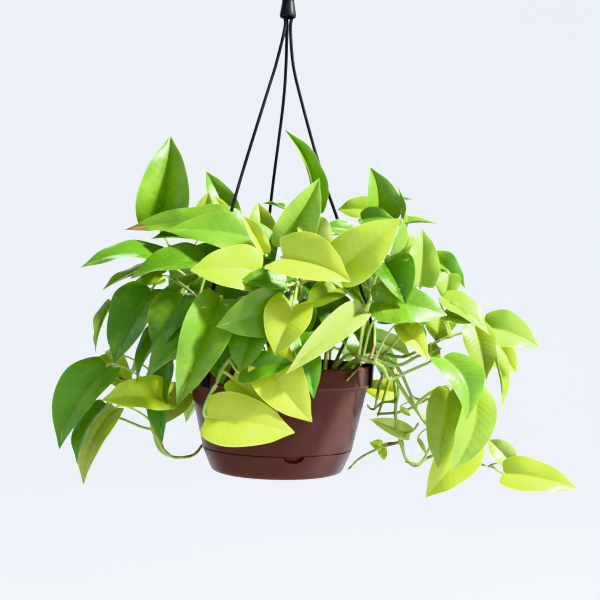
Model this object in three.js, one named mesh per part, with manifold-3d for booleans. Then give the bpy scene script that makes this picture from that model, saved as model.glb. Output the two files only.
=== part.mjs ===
// Golden pothos in a hanging pot: pot, saucer, soil, hanger and leafy vines.
// Lengths are in millimetres and +Z is up. The front is at -Y and the pot's axis is X = Y = 0.
// The pieces are made with Z = 0 at the underside of the saucer. The finished group is then
// lowered, so that its origin is the point inside the hook that bears on what it hangs from.

import * as THREE from 'three';
import { mergeVertices } from 'three/addons/utils/BufferGeometryUtils.js';
import Module from 'manifold-3d';

const wasm = await Module();
wasm.setup();

// Driving dimensions of the pot and its saucer.
const GAP = 0.4;
const RIM_Z = 118;
const RIM_RADIUS = 101;
const RIM_BAND = 22;
const RIM_WALL = 4;
const BODY_TOP_RADIUS = 98;
const WALL = 2.2;
const SEAM_Z = 26;
const SEAM_RADIUS = 82.6;
const SAUCER_FLOOR = 2.5;
const SAUCER_FOOT_RADIUS = 69;
const SAUCER_CURVE_RADIUS = 71.6;
const SAUCER_CURVE_Z = 5.2;
const FIT_GAP = 0.9;
const POT_FLOOR_Z = 8;
const POT_FLOOR = 3;
const POT_FOOT_RADIUS = 66;
const POT_FOOT_ROUND = 4;
const FOOT_RING_RADIUS = 53;
const FOOT_RING_WALL = 5;
const FOOT_RING_TAPER = 1;
const RIM_CHAMFER = 1.5;
const SHOULDER = 4;
const NOTCH_WIDTH = 22;
const NOTCH_DEPTH = 7;
const NOTCH_TURN = -77;
const NOTCH_REACH = 14;
const DRAIN_RADIUS = 3.5;
const DRAIN_RING = 36;
const DRAIN_COUNT = 4;
const DRAIN_TURN = 45;
const CUT_SLACK = 3;
const ROUND_SIDES = 24;

// Driving dimensions of the soil.
const SOIL_Z = 104;
const SOIL_DOME = 5;
const SOIL_FIT = 0.8;
const ROOT_DEPTH = 24;
const STEM_HOLE_RADIUS = 3.6;

// Driving dimensions of the hanger.
const HUB_Z = 497;
const HUB_HEIGHT = 34;
const HUB_FOOT_RADIUS = 9.4;
const HUB_NECK_RADIUS = 7;
const HUB_SIDES = 12;
const STRAND_RADIUS = 2;
const STRAND_SEAT = 6;
const STRAND_STEPS = 13;
const STRAND_RING = 4.4;
const HOOK_ROD_RADIUS = 2.8;
const HOOK_RADIUS = 20;
const HOOK_CENTRE_Z = 580;
const HOOK_START_TURN = -52;
const HOOK_END_TURN = 215;
const HOOK_TURN_STEP = 26.7;
const HOOK_STEPS = 22;
const ROD_SIDES = 6;
const CLIP_WIDTH = 12;
const CLIP_WALL = 3;
const CLIP_DROP = 26;
const CLIP_INNER_DROP = 10;
const CLIP_INNER_WALL = 1.6;
const CLIP_EDGE = 1;
const BEARING_Z = HOOK_CENTRE_Z + HOOK_RADIUS - HOOK_ROD_RADIUS;

// Driving dimensions of the stems and leaves.
const STEM_RADIUS = 2.2;
const STEM_SIDES = 5;
const STEM_STEP = 33;
const BRANCH_RADIUS = 1.5;
const BRANCH_SIDES = 4;
const ROOT_CLEAR = 6;
const PETIOLE_RADIUS = 1.4;
const PETIOLE_RISE = 0.2;
const PETIOLE_LEAD = 9;
const PETIOLE_LEAN = 0.25;
const PETIOLE_CORNER = 0.45;
const BLADE_THICKNESS = 0.8;
const LEAF_LOBE = 0.04;
const LOBE_FADE = 4;
const ROW_BIAS = 1.2;
const EDGE_WAVE = 1.4;
const LEAF_FOLD = 20;
const LEAF_ARCH = 0.07;

// How finely a leaf is split, by its length over each first number: the rows of its blade, and
// the shares of its petiole that carry a section.
const BLADE_ROWS = [[100, 5], [66, 4], [24, 3], [0, 2]];
const PETIOLE_SHARES = [[75, [0.94, 0.62, 0.3, 0]], [24, [0.93, 0.5, 0]], [0, [0.85, 0]]];

const LIME = 0x9ccf3c;
const GREEN = 0x5d9a2e;
const BROWN = 0x6f4a42;
const CHARCOAL = 0x1f1f22;
const EARTH = 0x3a2c22;

const UP = new THREE.Vector3(0, 0, 1);

function material(colour, roughness, metalness = 0) {
  return new THREE.MeshStandardMaterial({ color: colour, roughness, metalness });
}

function vec([x, y, z]) {
  return new THREE.Vector3(x, y, z);
}

// A vector at a turn in degrees about the pot's axis, from +X towards +Y.
function around(turn, radius, z) {
  const angle = THREE.MathUtils.degToRad(turn);
  return new THREE.Vector3(radius * Math.cos(angle), radius * Math.sin(angle), z);
}

// A closed solid from a geometry, with its faces turned outwards.
function solidOf(geometry) {
  const bare = geometry.clone();
  bare.deleteAttribute('normal');
  bare.deleteAttribute('uv');
  const merged = mergeVertices(bare, 1e-4);
  const corners = merged.index.array;
  const triangles = [];
  for (let i = 0; i < corners.length; i += 3) {
    const [a, b, c] = [corners[i], corners[i + 1], corners[i + 2]];
    if (a !== b && b !== c && c !== a) triangles.push(a, b, c);
  }
  const vertProperties = new Float32Array(merged.attributes.position.array);
  const solid = makeSolid(vertProperties, triangles);
  if (solid.volume() > 0) return solid;
  for (let i = 0; i < triangles.length; i += 3) {
    const first = triangles[i];
    triangles[i] = triangles[i + 1];
    triangles[i + 1] = first;
  }
  return makeSolid(vertProperties, triangles);
}

function makeSolid(vertProperties, triangles) {
  const triVerts = new Uint32Array(triangles);
  return new wasm.Manifold(new wasm.Mesh({ numProp: 3, vertProperties, triVerts }));
}

function tierOf(tiers, length) {
  return tiers.find(([over]) => length > over)[1];
}

function placed(geometry, position, turn = 0) {
  const copy = geometry.clone();
  copy.rotateZ(THREE.MathUtils.degToRad(turn));
  copy.translate(position.x, position.y, position.z);
  return solidOf(copy);
}

function joined(solids) {
  return solids.reduce((whole, solid) => whole.add(solid));
}

function meshOf(name, solid, look) {
  const { vertProperties, triVerts } = solid.getMesh();
  const geometry = new THREE.BufferGeometry();
  geometry.setAttribute('position', new THREE.BufferAttribute(vertProperties, 3));
  geometry.setIndex(new THREE.BufferAttribute(triVerts, 1));
  geometry.computeVertexNormals();
  const mesh = new THREE.Mesh(geometry, look);
  mesh.name = name;
  return mesh;
}

// A solid of revolution about Z from [radius, z] points.
function turned(profile, sides = ROUND_SIDES) {
  const points = profile.map(([radius, z]) => new THREE.Vector2(radius, z));
  const geometry = new THREE.LatheGeometry(points, sides);
  geometry.rotateX(Math.PI / 2);
  return solidOf(geometry);
}

// A round or many-sided rod along a curve.
function rod(curve, radius, sides, steps) {
  const section = new THREE.Shape();
  for (let i = 0; i < sides; i += 1) {
    const angle = 2 * Math.PI * i / sides;
    const x = radius * Math.cos(angle);
    const y = radius * Math.sin(angle);
    if (i === 0) section.moveTo(x, y);
    else section.lineTo(x, y);
  }
  section.closePath();
  const options = { steps, bevelEnabled: false, extrudePath: curve, curveSegments: 1 };
  return solidOf(new THREE.ExtrudeGeometry(section, options));
}

function smoothCurve(points) {
  return new THREE.CatmullRomCurve3(points, false, 'centripetal');
}

function cylinder(radius, bottom, top, x, y, sides) {
  const geometry = new THREE.CylinderGeometry(radius, radius, top - bottom, sides);
  geometry.rotateX(Math.PI / 2);
  return placed(geometry, new THREE.Vector3(x, y, (bottom + top) / 2));
}

// The pot's outer radius between the saucer's seam and the rim band.
function bodyRadius(z) {
  const share = (z - SEAM_Z) / (RIM_Z - RIM_BAND - SEAM_Z);
  return SEAM_RADIUS + share * (BODY_TOP_RADIUS - SEAM_RADIUS);
}

// The saucer's inner radius between its floor and its edge.
function saucerInside(z) {
  const share = (z - SAUCER_CURVE_Z) / (SEAM_Z - SAUCER_CURVE_Z);
  return SAUCER_CURVE_RADIUS + share * (SEAM_RADIUS - WALL - SAUCER_CURVE_RADIUS);
}

// The pot: a thin tapered shell with a rim band, a shoulder that sits on the saucer's edge,
// a foot ring and drain holes in its floor.
function makePot() {
  const bandZ = RIM_Z - RIM_BAND;
  const floorTop = POT_FLOOR_Z + POT_FLOOR;
  const ringInner = FOOT_RING_RADIUS - FOOT_RING_WALL;
  const neck = saucerInside(SEAM_Z) - FIT_GAP;
  const shell = turned([
    [0, POT_FLOOR_Z],
    [ringInner, POT_FLOOR_Z],
    [ringInner + FOOT_RING_TAPER, SAUCER_FLOOR + GAP],
    [FOOT_RING_RADIUS - FOOT_RING_TAPER, SAUCER_FLOOR + GAP],
    [FOOT_RING_RADIUS, POT_FLOOR_Z],
    [POT_FOOT_RADIUS, POT_FLOOR_Z],
    [saucerInside(POT_FLOOR_Z + POT_FOOT_ROUND) - FIT_GAP, POT_FLOOR_Z + POT_FOOT_ROUND],
    [neck, SEAM_Z + GAP],
    [SEAM_RADIUS, SEAM_Z + GAP],
    [BODY_TOP_RADIUS, bandZ],
    [RIM_RADIUS, bandZ + RIM_CHAMFER],
    [RIM_RADIUS, RIM_Z - RIM_CHAMFER],
    [RIM_RADIUS - RIM_CHAMFER, RIM_Z],
    [RIM_RADIUS - RIM_WALL, RIM_Z],
    [bodyRadius(bandZ) - WALL, bandZ - POT_FLOOR],
    [bodyRadius(SEAM_Z + SHOULDER) - WALL, SEAM_Z + SHOULDER],
    [neck - WALL, SEAM_Z],
    [POT_FOOT_RADIUS, floorTop],
    [0, floorTop],
  ]);
  let pot = shell;
  for (let i = 0; i < DRAIN_COUNT; i += 1) {
    const hole = around(DRAIN_TURN + 360 * i / DRAIN_COUNT, DRAIN_RING, 0);
    const bottom = POT_FLOOR_Z - CUT_SLACK;
    pot = pot.subtract(cylinder(DRAIN_RADIUS, bottom, floorTop + CUT_SLACK, hole.x, hole.y, 8));
  }
  return pot;
}

// The saucer: a rounded dish whose wall runs up to the seam, with a pour notch in its edge.
function makeSaucer() {
  const dish = turned([
    [0, 0],
    [SAUCER_FOOT_RADIUS, 0],
    [SAUCER_FOOT_RADIUS + 2.6, 1.2],
    [SAUCER_FOOT_RADIUS + 4.6, 4.2],
    [SEAM_RADIUS, SEAM_Z],
    [SEAM_RADIUS - WALL, SEAM_Z],
    [SAUCER_CURVE_RADIUS, SAUCER_CURVE_Z],
    [SAUCER_FOOT_RADIUS, SAUCER_FLOOR],
    [0, SAUCER_FLOOR],
  ]);
  const outline = new THREE.Shape();
  const half = NOTCH_WIDTH / 2;
  outline.moveTo(-half, CUT_SLACK);
  outline.lineTo(-half, 0);
  outline.quadraticCurveTo(-half, -NOTCH_DEPTH, 0, -NOTCH_DEPTH);
  outline.quadraticCurveTo(half, -NOTCH_DEPTH, half, 0);
  outline.lineTo(half, CUT_SLACK);
  outline.closePath();
  const options = { depth: NOTCH_REACH, bevelEnabled: false, curveSegments: 4 };
  const cutter = new THREE.ExtrudeGeometry(outline, options);
  cutter.rotateX(Math.PI / 2);
  cutter.rotateZ(Math.PI / 2);
  const place = around(NOTCH_TURN, SEAM_RADIUS - NOTCH_REACH / 2, SEAM_Z);
  return dish.subtract(placed(cutter, place, NOTCH_TURN));
}

// The soil fills the pot and is a little higher in the middle.
function makeSoil(stems) {
  const bottom = POT_FLOOR_Z + POT_FLOOR + GAP;
  const bandZ = RIM_Z - RIM_BAND;
  const topRadius = bodyRadius(bandZ) - WALL - SOIL_FIT - GAP;
  let soil = turned([
    [0, bottom],
    [POT_FOOT_RADIUS - SOIL_FIT, bottom],
    [saucerInside(SEAM_Z) - FIT_GAP - WALL - SOIL_FIT, SEAM_Z],
    [bodyRadius(SEAM_Z + SHOULDER) - WALL - SOIL_FIT, SEAM_Z + SHOULDER + 1],
    [topRadius, bandZ - POT_FLOOR],
    [topRadius, SOIL_Z - 3],
    [topRadius - 8, SOIL_Z - 0.5],
    [topRadius * 0.55, SOIL_Z + SOIL_DOME * 0.6],
    [0, SOIL_Z + SOIL_DOME],
  ]);
  const holeBottom = SOIL_Z - ROOT_DEPTH - GAP;
  for (const [x, y] of stems) {
    soil = soil.subtract(cylinder(STEM_HOLE_RADIUS, holeBottom, RIM_Z, x, y, STEM_SIDES));
  }
  return soil;
}

// The hub is a flared sleeve with the hook's rod rising from its top.
function makeHook() {
  const sleeve = turned([
    [0, HUB_Z],
    [HUB_FOOT_RADIUS - 0.8, HUB_Z],
    [HUB_FOOT_RADIUS, HUB_Z + 1.5],
    [HUB_FOOT_RADIUS - 0.4, HUB_Z + 5],
    [HUB_NECK_RADIUS, HUB_Z + HUB_HEIGHT / 2],
    [HUB_NECK_RADIUS - 0.6, HUB_Z + HUB_HEIGHT - 3],
    [HUB_NECK_RADIUS - 2.4, HUB_Z + HUB_HEIGHT],
    [0, HUB_Z + HUB_HEIGHT],
  ], HUB_SIDES);
  const points = [
    new THREE.Vector3(0, 0, HUB_Z + HUB_HEIGHT / 3),
    new THREE.Vector3(0, 0, HUB_Z + HUB_HEIGHT),
    new THREE.Vector3(1, 0, HOOK_CENTRE_Z - HOOK_RADIUS - 12),
  ];
  for (let turn = HOOK_START_TURN; turn <= HOOK_END_TURN; turn += HOOK_TURN_STEP) {
    const angle = THREE.MathUtils.degToRad(turn);
    const x = HOOK_RADIUS * Math.cos(angle);
    const z = HOOK_CENTRE_Z + HOOK_RADIUS * Math.sin(angle);
    points.push(new THREE.Vector3(x, 0, z));
  }
  return sleeve.add(rod(smoothCurve(points), HOOK_ROD_RADIUS, ROD_SIDES, HOOK_STEPS));
}

// A clip that hooks over the rim from outside, at a turn about the axis.
function clip(turn) {
  const outer = RIM_RADIUS + GAP;
  const inner = RIM_RADIUS - RIM_WALL - GAP - CLIP_WALL;
  const top = RIM_Z + GAP + CLIP_WALL;
  const under = RIM_Z + GAP;
  const bandBottom = RIM_Z - RIM_BAND - GAP;
  const section = new THREE.Shape();
  section.moveTo(outer + CLIP_WALL, top - CLIP_EDGE);
  section.lineTo(outer + CLIP_WALL - CLIP_EDGE, top);
  section.lineTo(inner + CLIP_EDGE, top);
  section.lineTo(inner, top - CLIP_EDGE);
  section.lineTo(inner, top - CLIP_INNER_DROP);
  section.lineTo(inner + CLIP_INNER_WALL, top - CLIP_INNER_DROP);
  section.lineTo(inner + CLIP_INNER_WALL, under);
  section.lineTo(outer, under);
  section.lineTo(outer, bandBottom);
  section.lineTo(outer - CLIP_INNER_WALL, bandBottom);
  section.lineTo(outer - CLIP_EDGE, top - CLIP_DROP - CLIP_EDGE);
  section.lineTo(outer + CLIP_WALL - CLIP_EDGE, top - CLIP_DROP);
  section.closePath();
  const geometry = new THREE.ExtrudeGeometry(section, { depth: CLIP_WIDTH, bevelEnabled: false });
  geometry.translate(0, 0, -CLIP_WIDTH / 2);
  geometry.rotateX(Math.PI / 2);
  return placed(geometry, new THREE.Vector3(), turn);
}

// The three strands: where each clips to the rim, and the points that it bows through.
const STRANDS = [
  {
    name: 'hanger_strand_left',
    turn: 222,
    through: [[-11, -9, 446], [-22, -17, 405], [-51, -41, 294], [-69, -58, 205], [-79, -69, 150]],
  },
  {
    name: 'hanger_strand_right',
    turn: 348,
    through: [
      [7, -5, 446], [17, -6, 406], [42, -10, 324], [58, -13, 281], [85, -18, 208], [101, -21, 155],
    ],
  },
  {
    name: 'hanger_strand_back',
    turn: 105,
    through: [[-1, 12, 446], [-3, 22, 409], [-15, 55, 301], [-22, 84, 208], [-27, 100, 150]],
  },
];

function makeStrand({ turn, through }) {
  const top = around(turn, STRAND_RING, HUB_Z - GAP);
  const leave = around(turn, STRAND_RING - 1, HUB_Z - GAP - STRAND_SEAT);
  const seatRadius = RIM_RADIUS + GAP + CLIP_WALL;
  const above = around(turn, seatRadius, RIM_Z + 2 * STRAND_SEAT);
  const seat = around(turn, seatRadius - CLIP_EDGE, RIM_Z + CLIP_EDGE);
  const points = [top, leave, ...through.map(vec), above, seat];
  const cord = rod(smoothCurve(points), STRAND_RADIUS, ROD_SIDES, STRAND_STEPS);
  return cord.add(clip(turn));
}

// The outline of a heart-shaped blade: its half width at a run from 0 at the base to 1 at the tip.
function outlineAt(run) {
  return Math.sin(Math.PI * (0.13 + 0.87 * run ** 0.76));
}

function leafFrame(leaf) {
  const base = vec(leaf.base);
  const along = vec(leaf.tip).sub(base);
  const length = along.length();
  along.normalize();
  const face = vec(leaf.face);
  face.addScaledVector(along, -face.dot(along)).normalize();
  const side = new THREE.Vector3().crossVectors(along, face);
  const fold = THREE.MathUtils.degToRad(leaf.fold ?? LEAF_FOLD);
  return { base, along, length, face, side, fold };
}

// The point of a stem, above the soil or outside the rim, that is nearest to a target. The stem
// is given by the points that its rod runs straight between.
function nearestOn(stem, target) {
  const nearest = new THREE.Vector3();
  let best = null;
  for (let i = 1; i < stem.length; i += 1) {
    const piece = new THREE.Line3(stem[i - 1], stem[i]);
    piece.closestPointToPoint(target, true, nearest);
    const isOver = nearest.z > SOIL_Z + ROOT_CLEAR;
    const isOut = isOver || Math.hypot(nearest.x, nearest.y) > RIM_RADIUS + ROOT_CLEAR;
    if (isOut && (best === null || nearest.distanceTo(target) < best.distanceTo(target))) {
      best = nearest.clone();
    }
  }
  return best;
}

// A petiole leaves its stem upwards and runs straight into the rib. Its sections have six sides
// and are carried back from the blade's base without a twist.
function petioleSections(leaf, frame, stem) {
  const root = nearestOn(stem, leaf.root ? vec(leaf.root) : frame.base);
  const reach = root.distanceTo(frame.base);
  const lead = Math.min(0.3 * reach, PETIOLE_LEAD);
  const leave = root.clone().lerp(frame.base, PETIOLE_LEAN);
  leave.addScaledVector(UP, PETIOLE_RISE * reach);
  const arrive = frame.base.clone().addScaledVector(frame.along, -lead);
  const path = new THREE.CubicBezierCurve3(root, leave, arrive, frame.base);
  const side = frame.side.clone();
  const face = frame.face.clone();
  let heading = frame.along;
  const sections = [];
  for (const share of tierOf(PETIOLE_SHARES, reach)) {
    const tangent = path.getTangent(share);
    const turn = new THREE.Quaternion().setFromUnitVectors(heading, tangent);
    heading = tangent;
    side.applyQuaternion(turn);
    face.applyQuaternion(turn);
    const centre = path.getPoint(share);
    const section = [];
    for (const across of [-1, 0, 1]) {
      const out = PETIOLE_RADIUS * (across === 0 ? 1 : PETIOLE_CORNER);
      const point = centre.clone().addScaledVector(side, across * PETIOLE_RADIUS);
      section.push(point.clone().addScaledVector(face, out), point.addScaledVector(face, -out));
    }
    sections.unshift(section);
  }
  return sections;
}

// A blade has rows from base to tip of three columns, edge, rib and edge, each with an upper and
// a lower point. The lobes reach back past the base.
function bladeSections(leaf, frame) {
  const { length, fold } = frame;
  const rows = tierOf(BLADE_ROWS, length);
  const arch = leaf.arch ?? LEAF_ARCH * length;
  const bend = leaf.bend ?? 0;
  const lobe = leaf.lobe ?? LEAF_LOBE;
  const thick = BLADE_THICKNESS / Math.cos(fold);
  const sections = [];
  for (let row = 0; row <= rows; row += 1) {
    const run = (row / rows) ** ROW_BIAS;
    const half = leaf.width / 2 * outlineAt(run);
    const bow = 4 * run * (1 - run);
    const wave = EDGE_WAVE * Math.sin(7 * run + leaf.width) * outlineAt(run);
    const section = [];
    for (const hand of row < rows ? [-1, 0, 1] : [0]) {
      const back = hand === 0 ? 0 : lobe * (1 - run) ** LOBE_FADE;
      const lift = hand === 0 ? 0 : half * Math.sin(fold) + hand * wave;
      const point = frame.base.clone();
      point.addScaledVector(frame.along, length * (run - back));
      point.addScaledVector(frame.side, hand * half * Math.cos(fold) + bend * bow);
      point.addScaledVector(frame.face, arch * bow + lift);
      section.push(point, point.clone().addScaledVector(frame.face, -thick));
    }
    sections.push(section);
  }
  return sections;
}

// A petiole and its blade in one skin. Both faces are split into the same triangles.
function leafSolid(leaf, stem) {
  const frame = leafFrame(leaf);
  const sections = [...petioleSections(leaf, frame, stem), ...bladeSections(leaf, frame)];
  const positions = sections.flat().flatMap((point) => point.toArray());
  const last = sections.length - 1;
  const tip = last * 6;
  const index = [];
  for (let row = 0; row < last; row += 1) {
    const next = (column) => (row + 1 === last ? tip : (row + 1) * 6 + column * 2);
    for (const column of [0, 1]) {
      const a = row * 6 + column * 2;
      const b = a + 2;
      const d = next(column);
      const e = next(column + 1);
      index.push(a, b, d, a + 1, d + 1, b + 1);
      if (d !== e) index.push(b, e, d, b + 1, d + 1, e + 1);
    }
    const left = row * 6;
    index.push(left, next(0), left + 1, next(0), next(0) + 1, left + 1);
    const right = row * 6 + 4;
    index.push(right, right + 1, next(2), next(2), right + 1, next(2) + 1);
  }
  for (const a of [0, 2]) index.push(a, a + 1, a + 2, a + 2, a + 1, a + 3);
  return makeSolid(new Float32Array(positions), index);
}

// A stem starts upright in its hole in the soil and then follows its points.
function stemCurve(vine) {
  const [x, y] = vine.soil;
  const start = [
    new THREE.Vector3(x, y, SOIL_Z - ROOT_DEPTH),
    new THREE.Vector3(x, y, SOIL_Z - ROOT_DEPTH / 2),
    new THREE.Vector3(x, y, SOIL_Z + 4),
  ];
  return smoothCurve([...start, ...vine.route.map(vec)]);
}

function makeVine(vine) {
  const curve = stemCurve(vine);
  const steps = Math.ceil(curve.getLength() / STEM_STEP);
  const stem = curve.getSpacedPoints(steps);
  const solids = [rod(curve, STEM_RADIUS, STEM_SIDES, steps)];
  for (const branch of vine.branches ?? []) {
    solids.push(rod(smoothCurve(branch.map(vec)), BRANCH_RADIUS, BRANCH_SIDES, branch.length));
  }
  for (const leaf of vine.leaves) {
    solids.push(leafSolid(leaf, stem));
  }
  return joined(solids);
}

// The vines that show from the front. Each leaf has its base, its tip, its width, the way its
// upper face looks, and where given the fold at its rib in degrees and the rise of its arch.
const FRONT_VINES = [
  {
    name: 'vine_upper_left',
    colour: GREEN,
    soil: [-40, 30],
    route: [[-46, 30, 160], [-66, 28, 210], [-100, 24, 236], [-126, 18, 244]],
    leaves: [
      { base: [-135, 10, 257], tip: [-127, 15, 366], width: 70, face: [-1, -10, 1], fold: 26, arch: 8, bend: 3 },
      { base: [-57, 38, 265], tip: [-176, 28, 257], width: 52, face: [0, -3, 9], arch: 4 },
      { base: [-72, 4, 247], tip: [-143, -20, 250], width: 46, face: [0, -4, 10] },
      { base: [-58, 42, 269], tip: [-90, 50, 332], width: 34, face: [-3, -10, 3], fold: 25 },
      { base: [-90, 25, 264], tip: [-85, 30, 307], width: 26, face: [-2, -10, 3] },
      { base: [-63, 26, 274], tip: [-79, 30, 303], width: 18, face: [2, -10, 3] },
    ],
  },
  {
    name: 'vine_crown_left',
    colour: LIME,
    soil: [-25, -8],
    route: [[-25, -10, 150], [-22, -14, 200], [-16, -18, 230]],
    leaves: [
      { base: [-12, -50, 244], tip: [-122, -68, 257], width: 48, face: [0, -9, 5], fold: 12, arch: 6, bend: 5 },
      { base: [-17, -88, 235], tip: [-41, -82, 275], width: 20, face: [5, -9, 2], fold: 40 },
      { base: [-21, 40, 249], tip: [-30, 50, 298], width: 36, face: [0, -10, 2] },
      { base: [1, -6, 288], tip: [-24, 2, 293], width: 14, face: [0, -2, 10] },
    ],
  },
  {
    name: 'vine_left',
    colour: GREEN,
    soil: [-70, 8],
    route: [[-76, 8, 150], [-96, 4, 190], [-120, 0, 208]],
    leaves: [
      { base: [-124, -15, 230], tip: [-215, -38, 216], width: 46, face: [-1, -5, 8], fold: 12, arch: 12 },
      { base: [-128, -12, 220], tip: [-193, -34, 192], width: 34, face: [3, -1, 10] },
      { base: [-130, -8, 210], tip: [-155, -18, 199], width: 26, face: [0, -8, 5] },
      { base: [-137, -40, 196], tip: [-172, -60, 116], width: 56, face: [-5, -8, 3], fold: 25 },
      { base: [-186, 0, 180], tip: [-201, -10, 124], width: 40, face: [-10, -1, 2] },
    ],
  },
  {
    name: 'vine_front_left',
    colour: GREEN,
    soil: [-55, -45],
    route: [[-60, -55, 140], [-70, -70, 162], [-86, -74, 174]],
    leaves: [
      { base: [-79, -66, 226], tip: [-155, -80, 206], width: 44, face: [0, -6, 7], arch: 9 },
      { base: [-100, -70, 191], tip: [-127, -85, 129], width: 40, face: [-5, -8, 2], fold: 25 },
      { base: [-114, -50, 166], tip: [-148, -65, 98], width: 34, face: [-9, -4, 2] },
      { base: [-80, -85, 160], tip: [-134, -95, 106], width: 44, face: [-4, -8, 5] },
      { base: [-58, -105, 188], tip: [-98, -130, 82], width: 58, face: [-3, -10, 2], fold: 24, arch: 9 },
    ],
  },
  {
    name: 'vine_lower_left',
    colour: LIME,
    soil: [-70, -22],
    route: [
      [-84, -22, 128], [-112, -18, 130], [-132, -12, 100], [-137, -5, 48], [-130, 0, 20], [-117, 5, 11],
      [-95, 18, 11], [-86, 34, 20], [-72, 66, 38], [-50, 96, 52],
    ],
    leaves: [
      { base: [-120, -40, 119], tip: [-121, -50, 33], width: 40, face: [-5, -7, 2] },
      { base: [-116, -52, 82], tip: [-184, -65, 79], width: 46, face: [-1, -8, 6], lobe: 0.2 },
      {
        base: [-185, -20, 112], tip: [-232, -40, 22], width: 56, face: [-3, -9, 2],
        arch: 8, bend: 9, root: [-135, -12, 84],
      },
      { base: [-194, 20, 123], tip: [-160, 10, 78], width: 36, face: [-2, -9, 2], root: [-133, -14, 98] },
      { base: [-184, -30, 71], tip: [-208, -45, 8], width: 44, face: [-9, -3, 2], root: [-136, -8, 60] },
      { base: [-177, -10, 65], tip: [-208, -25, -18], width: 44, face: [-2, -9, -2], root: [-137, -5, 48] },
      { base: [-110, -6, 92], tip: [-128, -14, 48], width: 38, face: [-3, -9, 1] },
    ],
  },
  {
    name: 'vine_front',
    colour: LIME,
    soil: [-15, -60],
    route: [[-18, -78, 130], [-25, -98, 142], [-40, -110, 135], [-54, -112, 120], [-61, -117, 102]],
    leaves: [
      { base: [-69, -125, 71], tip: [19, -130, 58], width: 56, face: [0, -10, 3], fold: 14 },
      { base: [-45, -110, 109], tip: [3, -114, 71], width: 36, face: [0, -10, 2] },
      { base: [-37, -122, 116], tip: [16, -130, 127], width: 36, face: [0, -9, 5] },
      { base: [-12, -115, 138], tip: [36, -124, 68], width: 56, face: [0, -10, 3], fold: 16, bend: 6 },
      { base: [-22, -112, 166], tip: [-37, -124, 115], width: 46, face: [-1, -7, 6] },
      { base: [20, -106, 153], tip: [37, -120, 91], width: 32, face: [3, -9, 2] },
    ],
  },
  {
    name: 'vine_front_centre',
    colour: LIME,
    soil: [15, -45],
    route: [[15, -60, 150], [12, -80, 192], [24, -90, 208], [44, -92, 210]],
    leaves: [
      { base: [-19, -105, 216], tip: [-89, -125, 216], width: 52, face: [0, -10, 4], fold: 14 },
      {
        base: [3, -120, 231], tip: [70, -138, 208], width: 58, face: [0, -9, 4],
        fold: 26, lobe: 0.26, bend: -3,
      },
      { base: [-22, -95, 211], tip: [17, -100, 207], width: 30, face: [0, -5, 8] },
      { base: [6, -112, 203], tip: [-40, -125, 206], width: 34, face: [0, -7, 7] },
      { base: [4, -115, 178], tip: [-63, -137, 162], width: 48, face: [0, -8, 7], arch: 8 },
      { base: [14, -125, 183], tip: [-2, -142, 134], width: 50, face: [0, -8, 5], fold: 22, lobe: 0.3 },
      { base: [83, -100, 179], tip: [9, -146, 117], width: 40, face: [3, -8, 5], fold: 28 },
      { base: [56, -100, 218], tip: [120, -115, 273], width: 54, face: [1, -9, 4], fold: 14 },
      { base: [62, -92, 203], tip: [26, -106, 180], width: 34, face: [0, -8, 6] },
    ],
  },
  {
    name: 'vine_crown_centre',
    colour: GREEN,
    soil: [22, -10],
    route: [[22, -16, 170], [20, -28, 220], [20, -38, 243]],
    leaves: [
      { base: [5, -60, 243], tip: [38, -75, 315], width: 50, face: [-3, -8, 3], fold: 38 },
      { base: [33, -34, 281], tip: [-1, -40, 370], width: 40, face: [4, -8, 2], fold: 30, arch: 4, bend: 19 },
      { base: [74, -60, 261], tip: [40, -78, 263], width: 22, face: [0, -9, 5] },
      { base: [26, -72, 268], tip: [54, -88, 236], width: 34, face: [0, -9, 4] },
    ],
  },
  {
    name: 'vine_crown_right',
    colour: GREEN,
    soil: [50, 12],
    route: [[57, 12, 170], [74, 12, 220], [94, 10, 248], [114, 6, 258]],
    leaves: [
      { base: [105, 10, 272], tip: [94, 0, 336], width: 50, face: [-2, -9, 1], fold: 26, bend: 5 },
      { base: [85, -16, 277], tip: [120, -26, 278], width: 26, face: [0, -9, 5] },
      { base: [104, 60, 291], tip: [61, 60, 292], width: 34, face: [0, -9, 4] },
      { base: [128, -10, 260], tip: [125, 0, 317], width: 26, face: [10, -2, 0] },
      { base: [112, 40, 300], tip: [148, 40, 304], width: 20, face: [0, -1, 10] },
      { base: [128, 6, 274], tip: [171, 4, 275], width: 22, face: [0, -3, 10] },
      { base: [127, -40, 274], tip: [112, -55, 234], width: 26, face: [9, -4, 2] },
    ],
  },
  {
    name: 'vine_right',
    colour: LIME,
    soil: [60, 34],
    route: [[78, 30, 150], [108, 22, 190], [138, 16, 212], [158, 12, 220]],
    leaves: [
      { base: [149, 20, 258], tip: [129, 16, 240], width: 30, face: [0, -10, 3] },
      { base: [151, -20, 206], tip: [152, -14, 269], width: 40, face: [-2, -9, 2], fold: 34 },
      { base: [165, 10, 238], tip: [202, -5, 204], width: 34, face: [0, -9, 6] },
      { base: [182, -10, 220], tip: [178, -16, 190], width: 30, face: [0, -9, 3] },
      { base: [161, 30, 222], tip: [174, 20, 203], width: 30, face: [0, -9, 3] },
    ],
  },
  {
    name: 'vine_far_right',
    colour: LIME,
    soil: [76, -2],
    route: [
      [90, -4, 126], [112, -8, 131], [134, -18, 129], [156, -28, 140], [180, -27, 152], [204, -25, 159],
    ],
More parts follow.
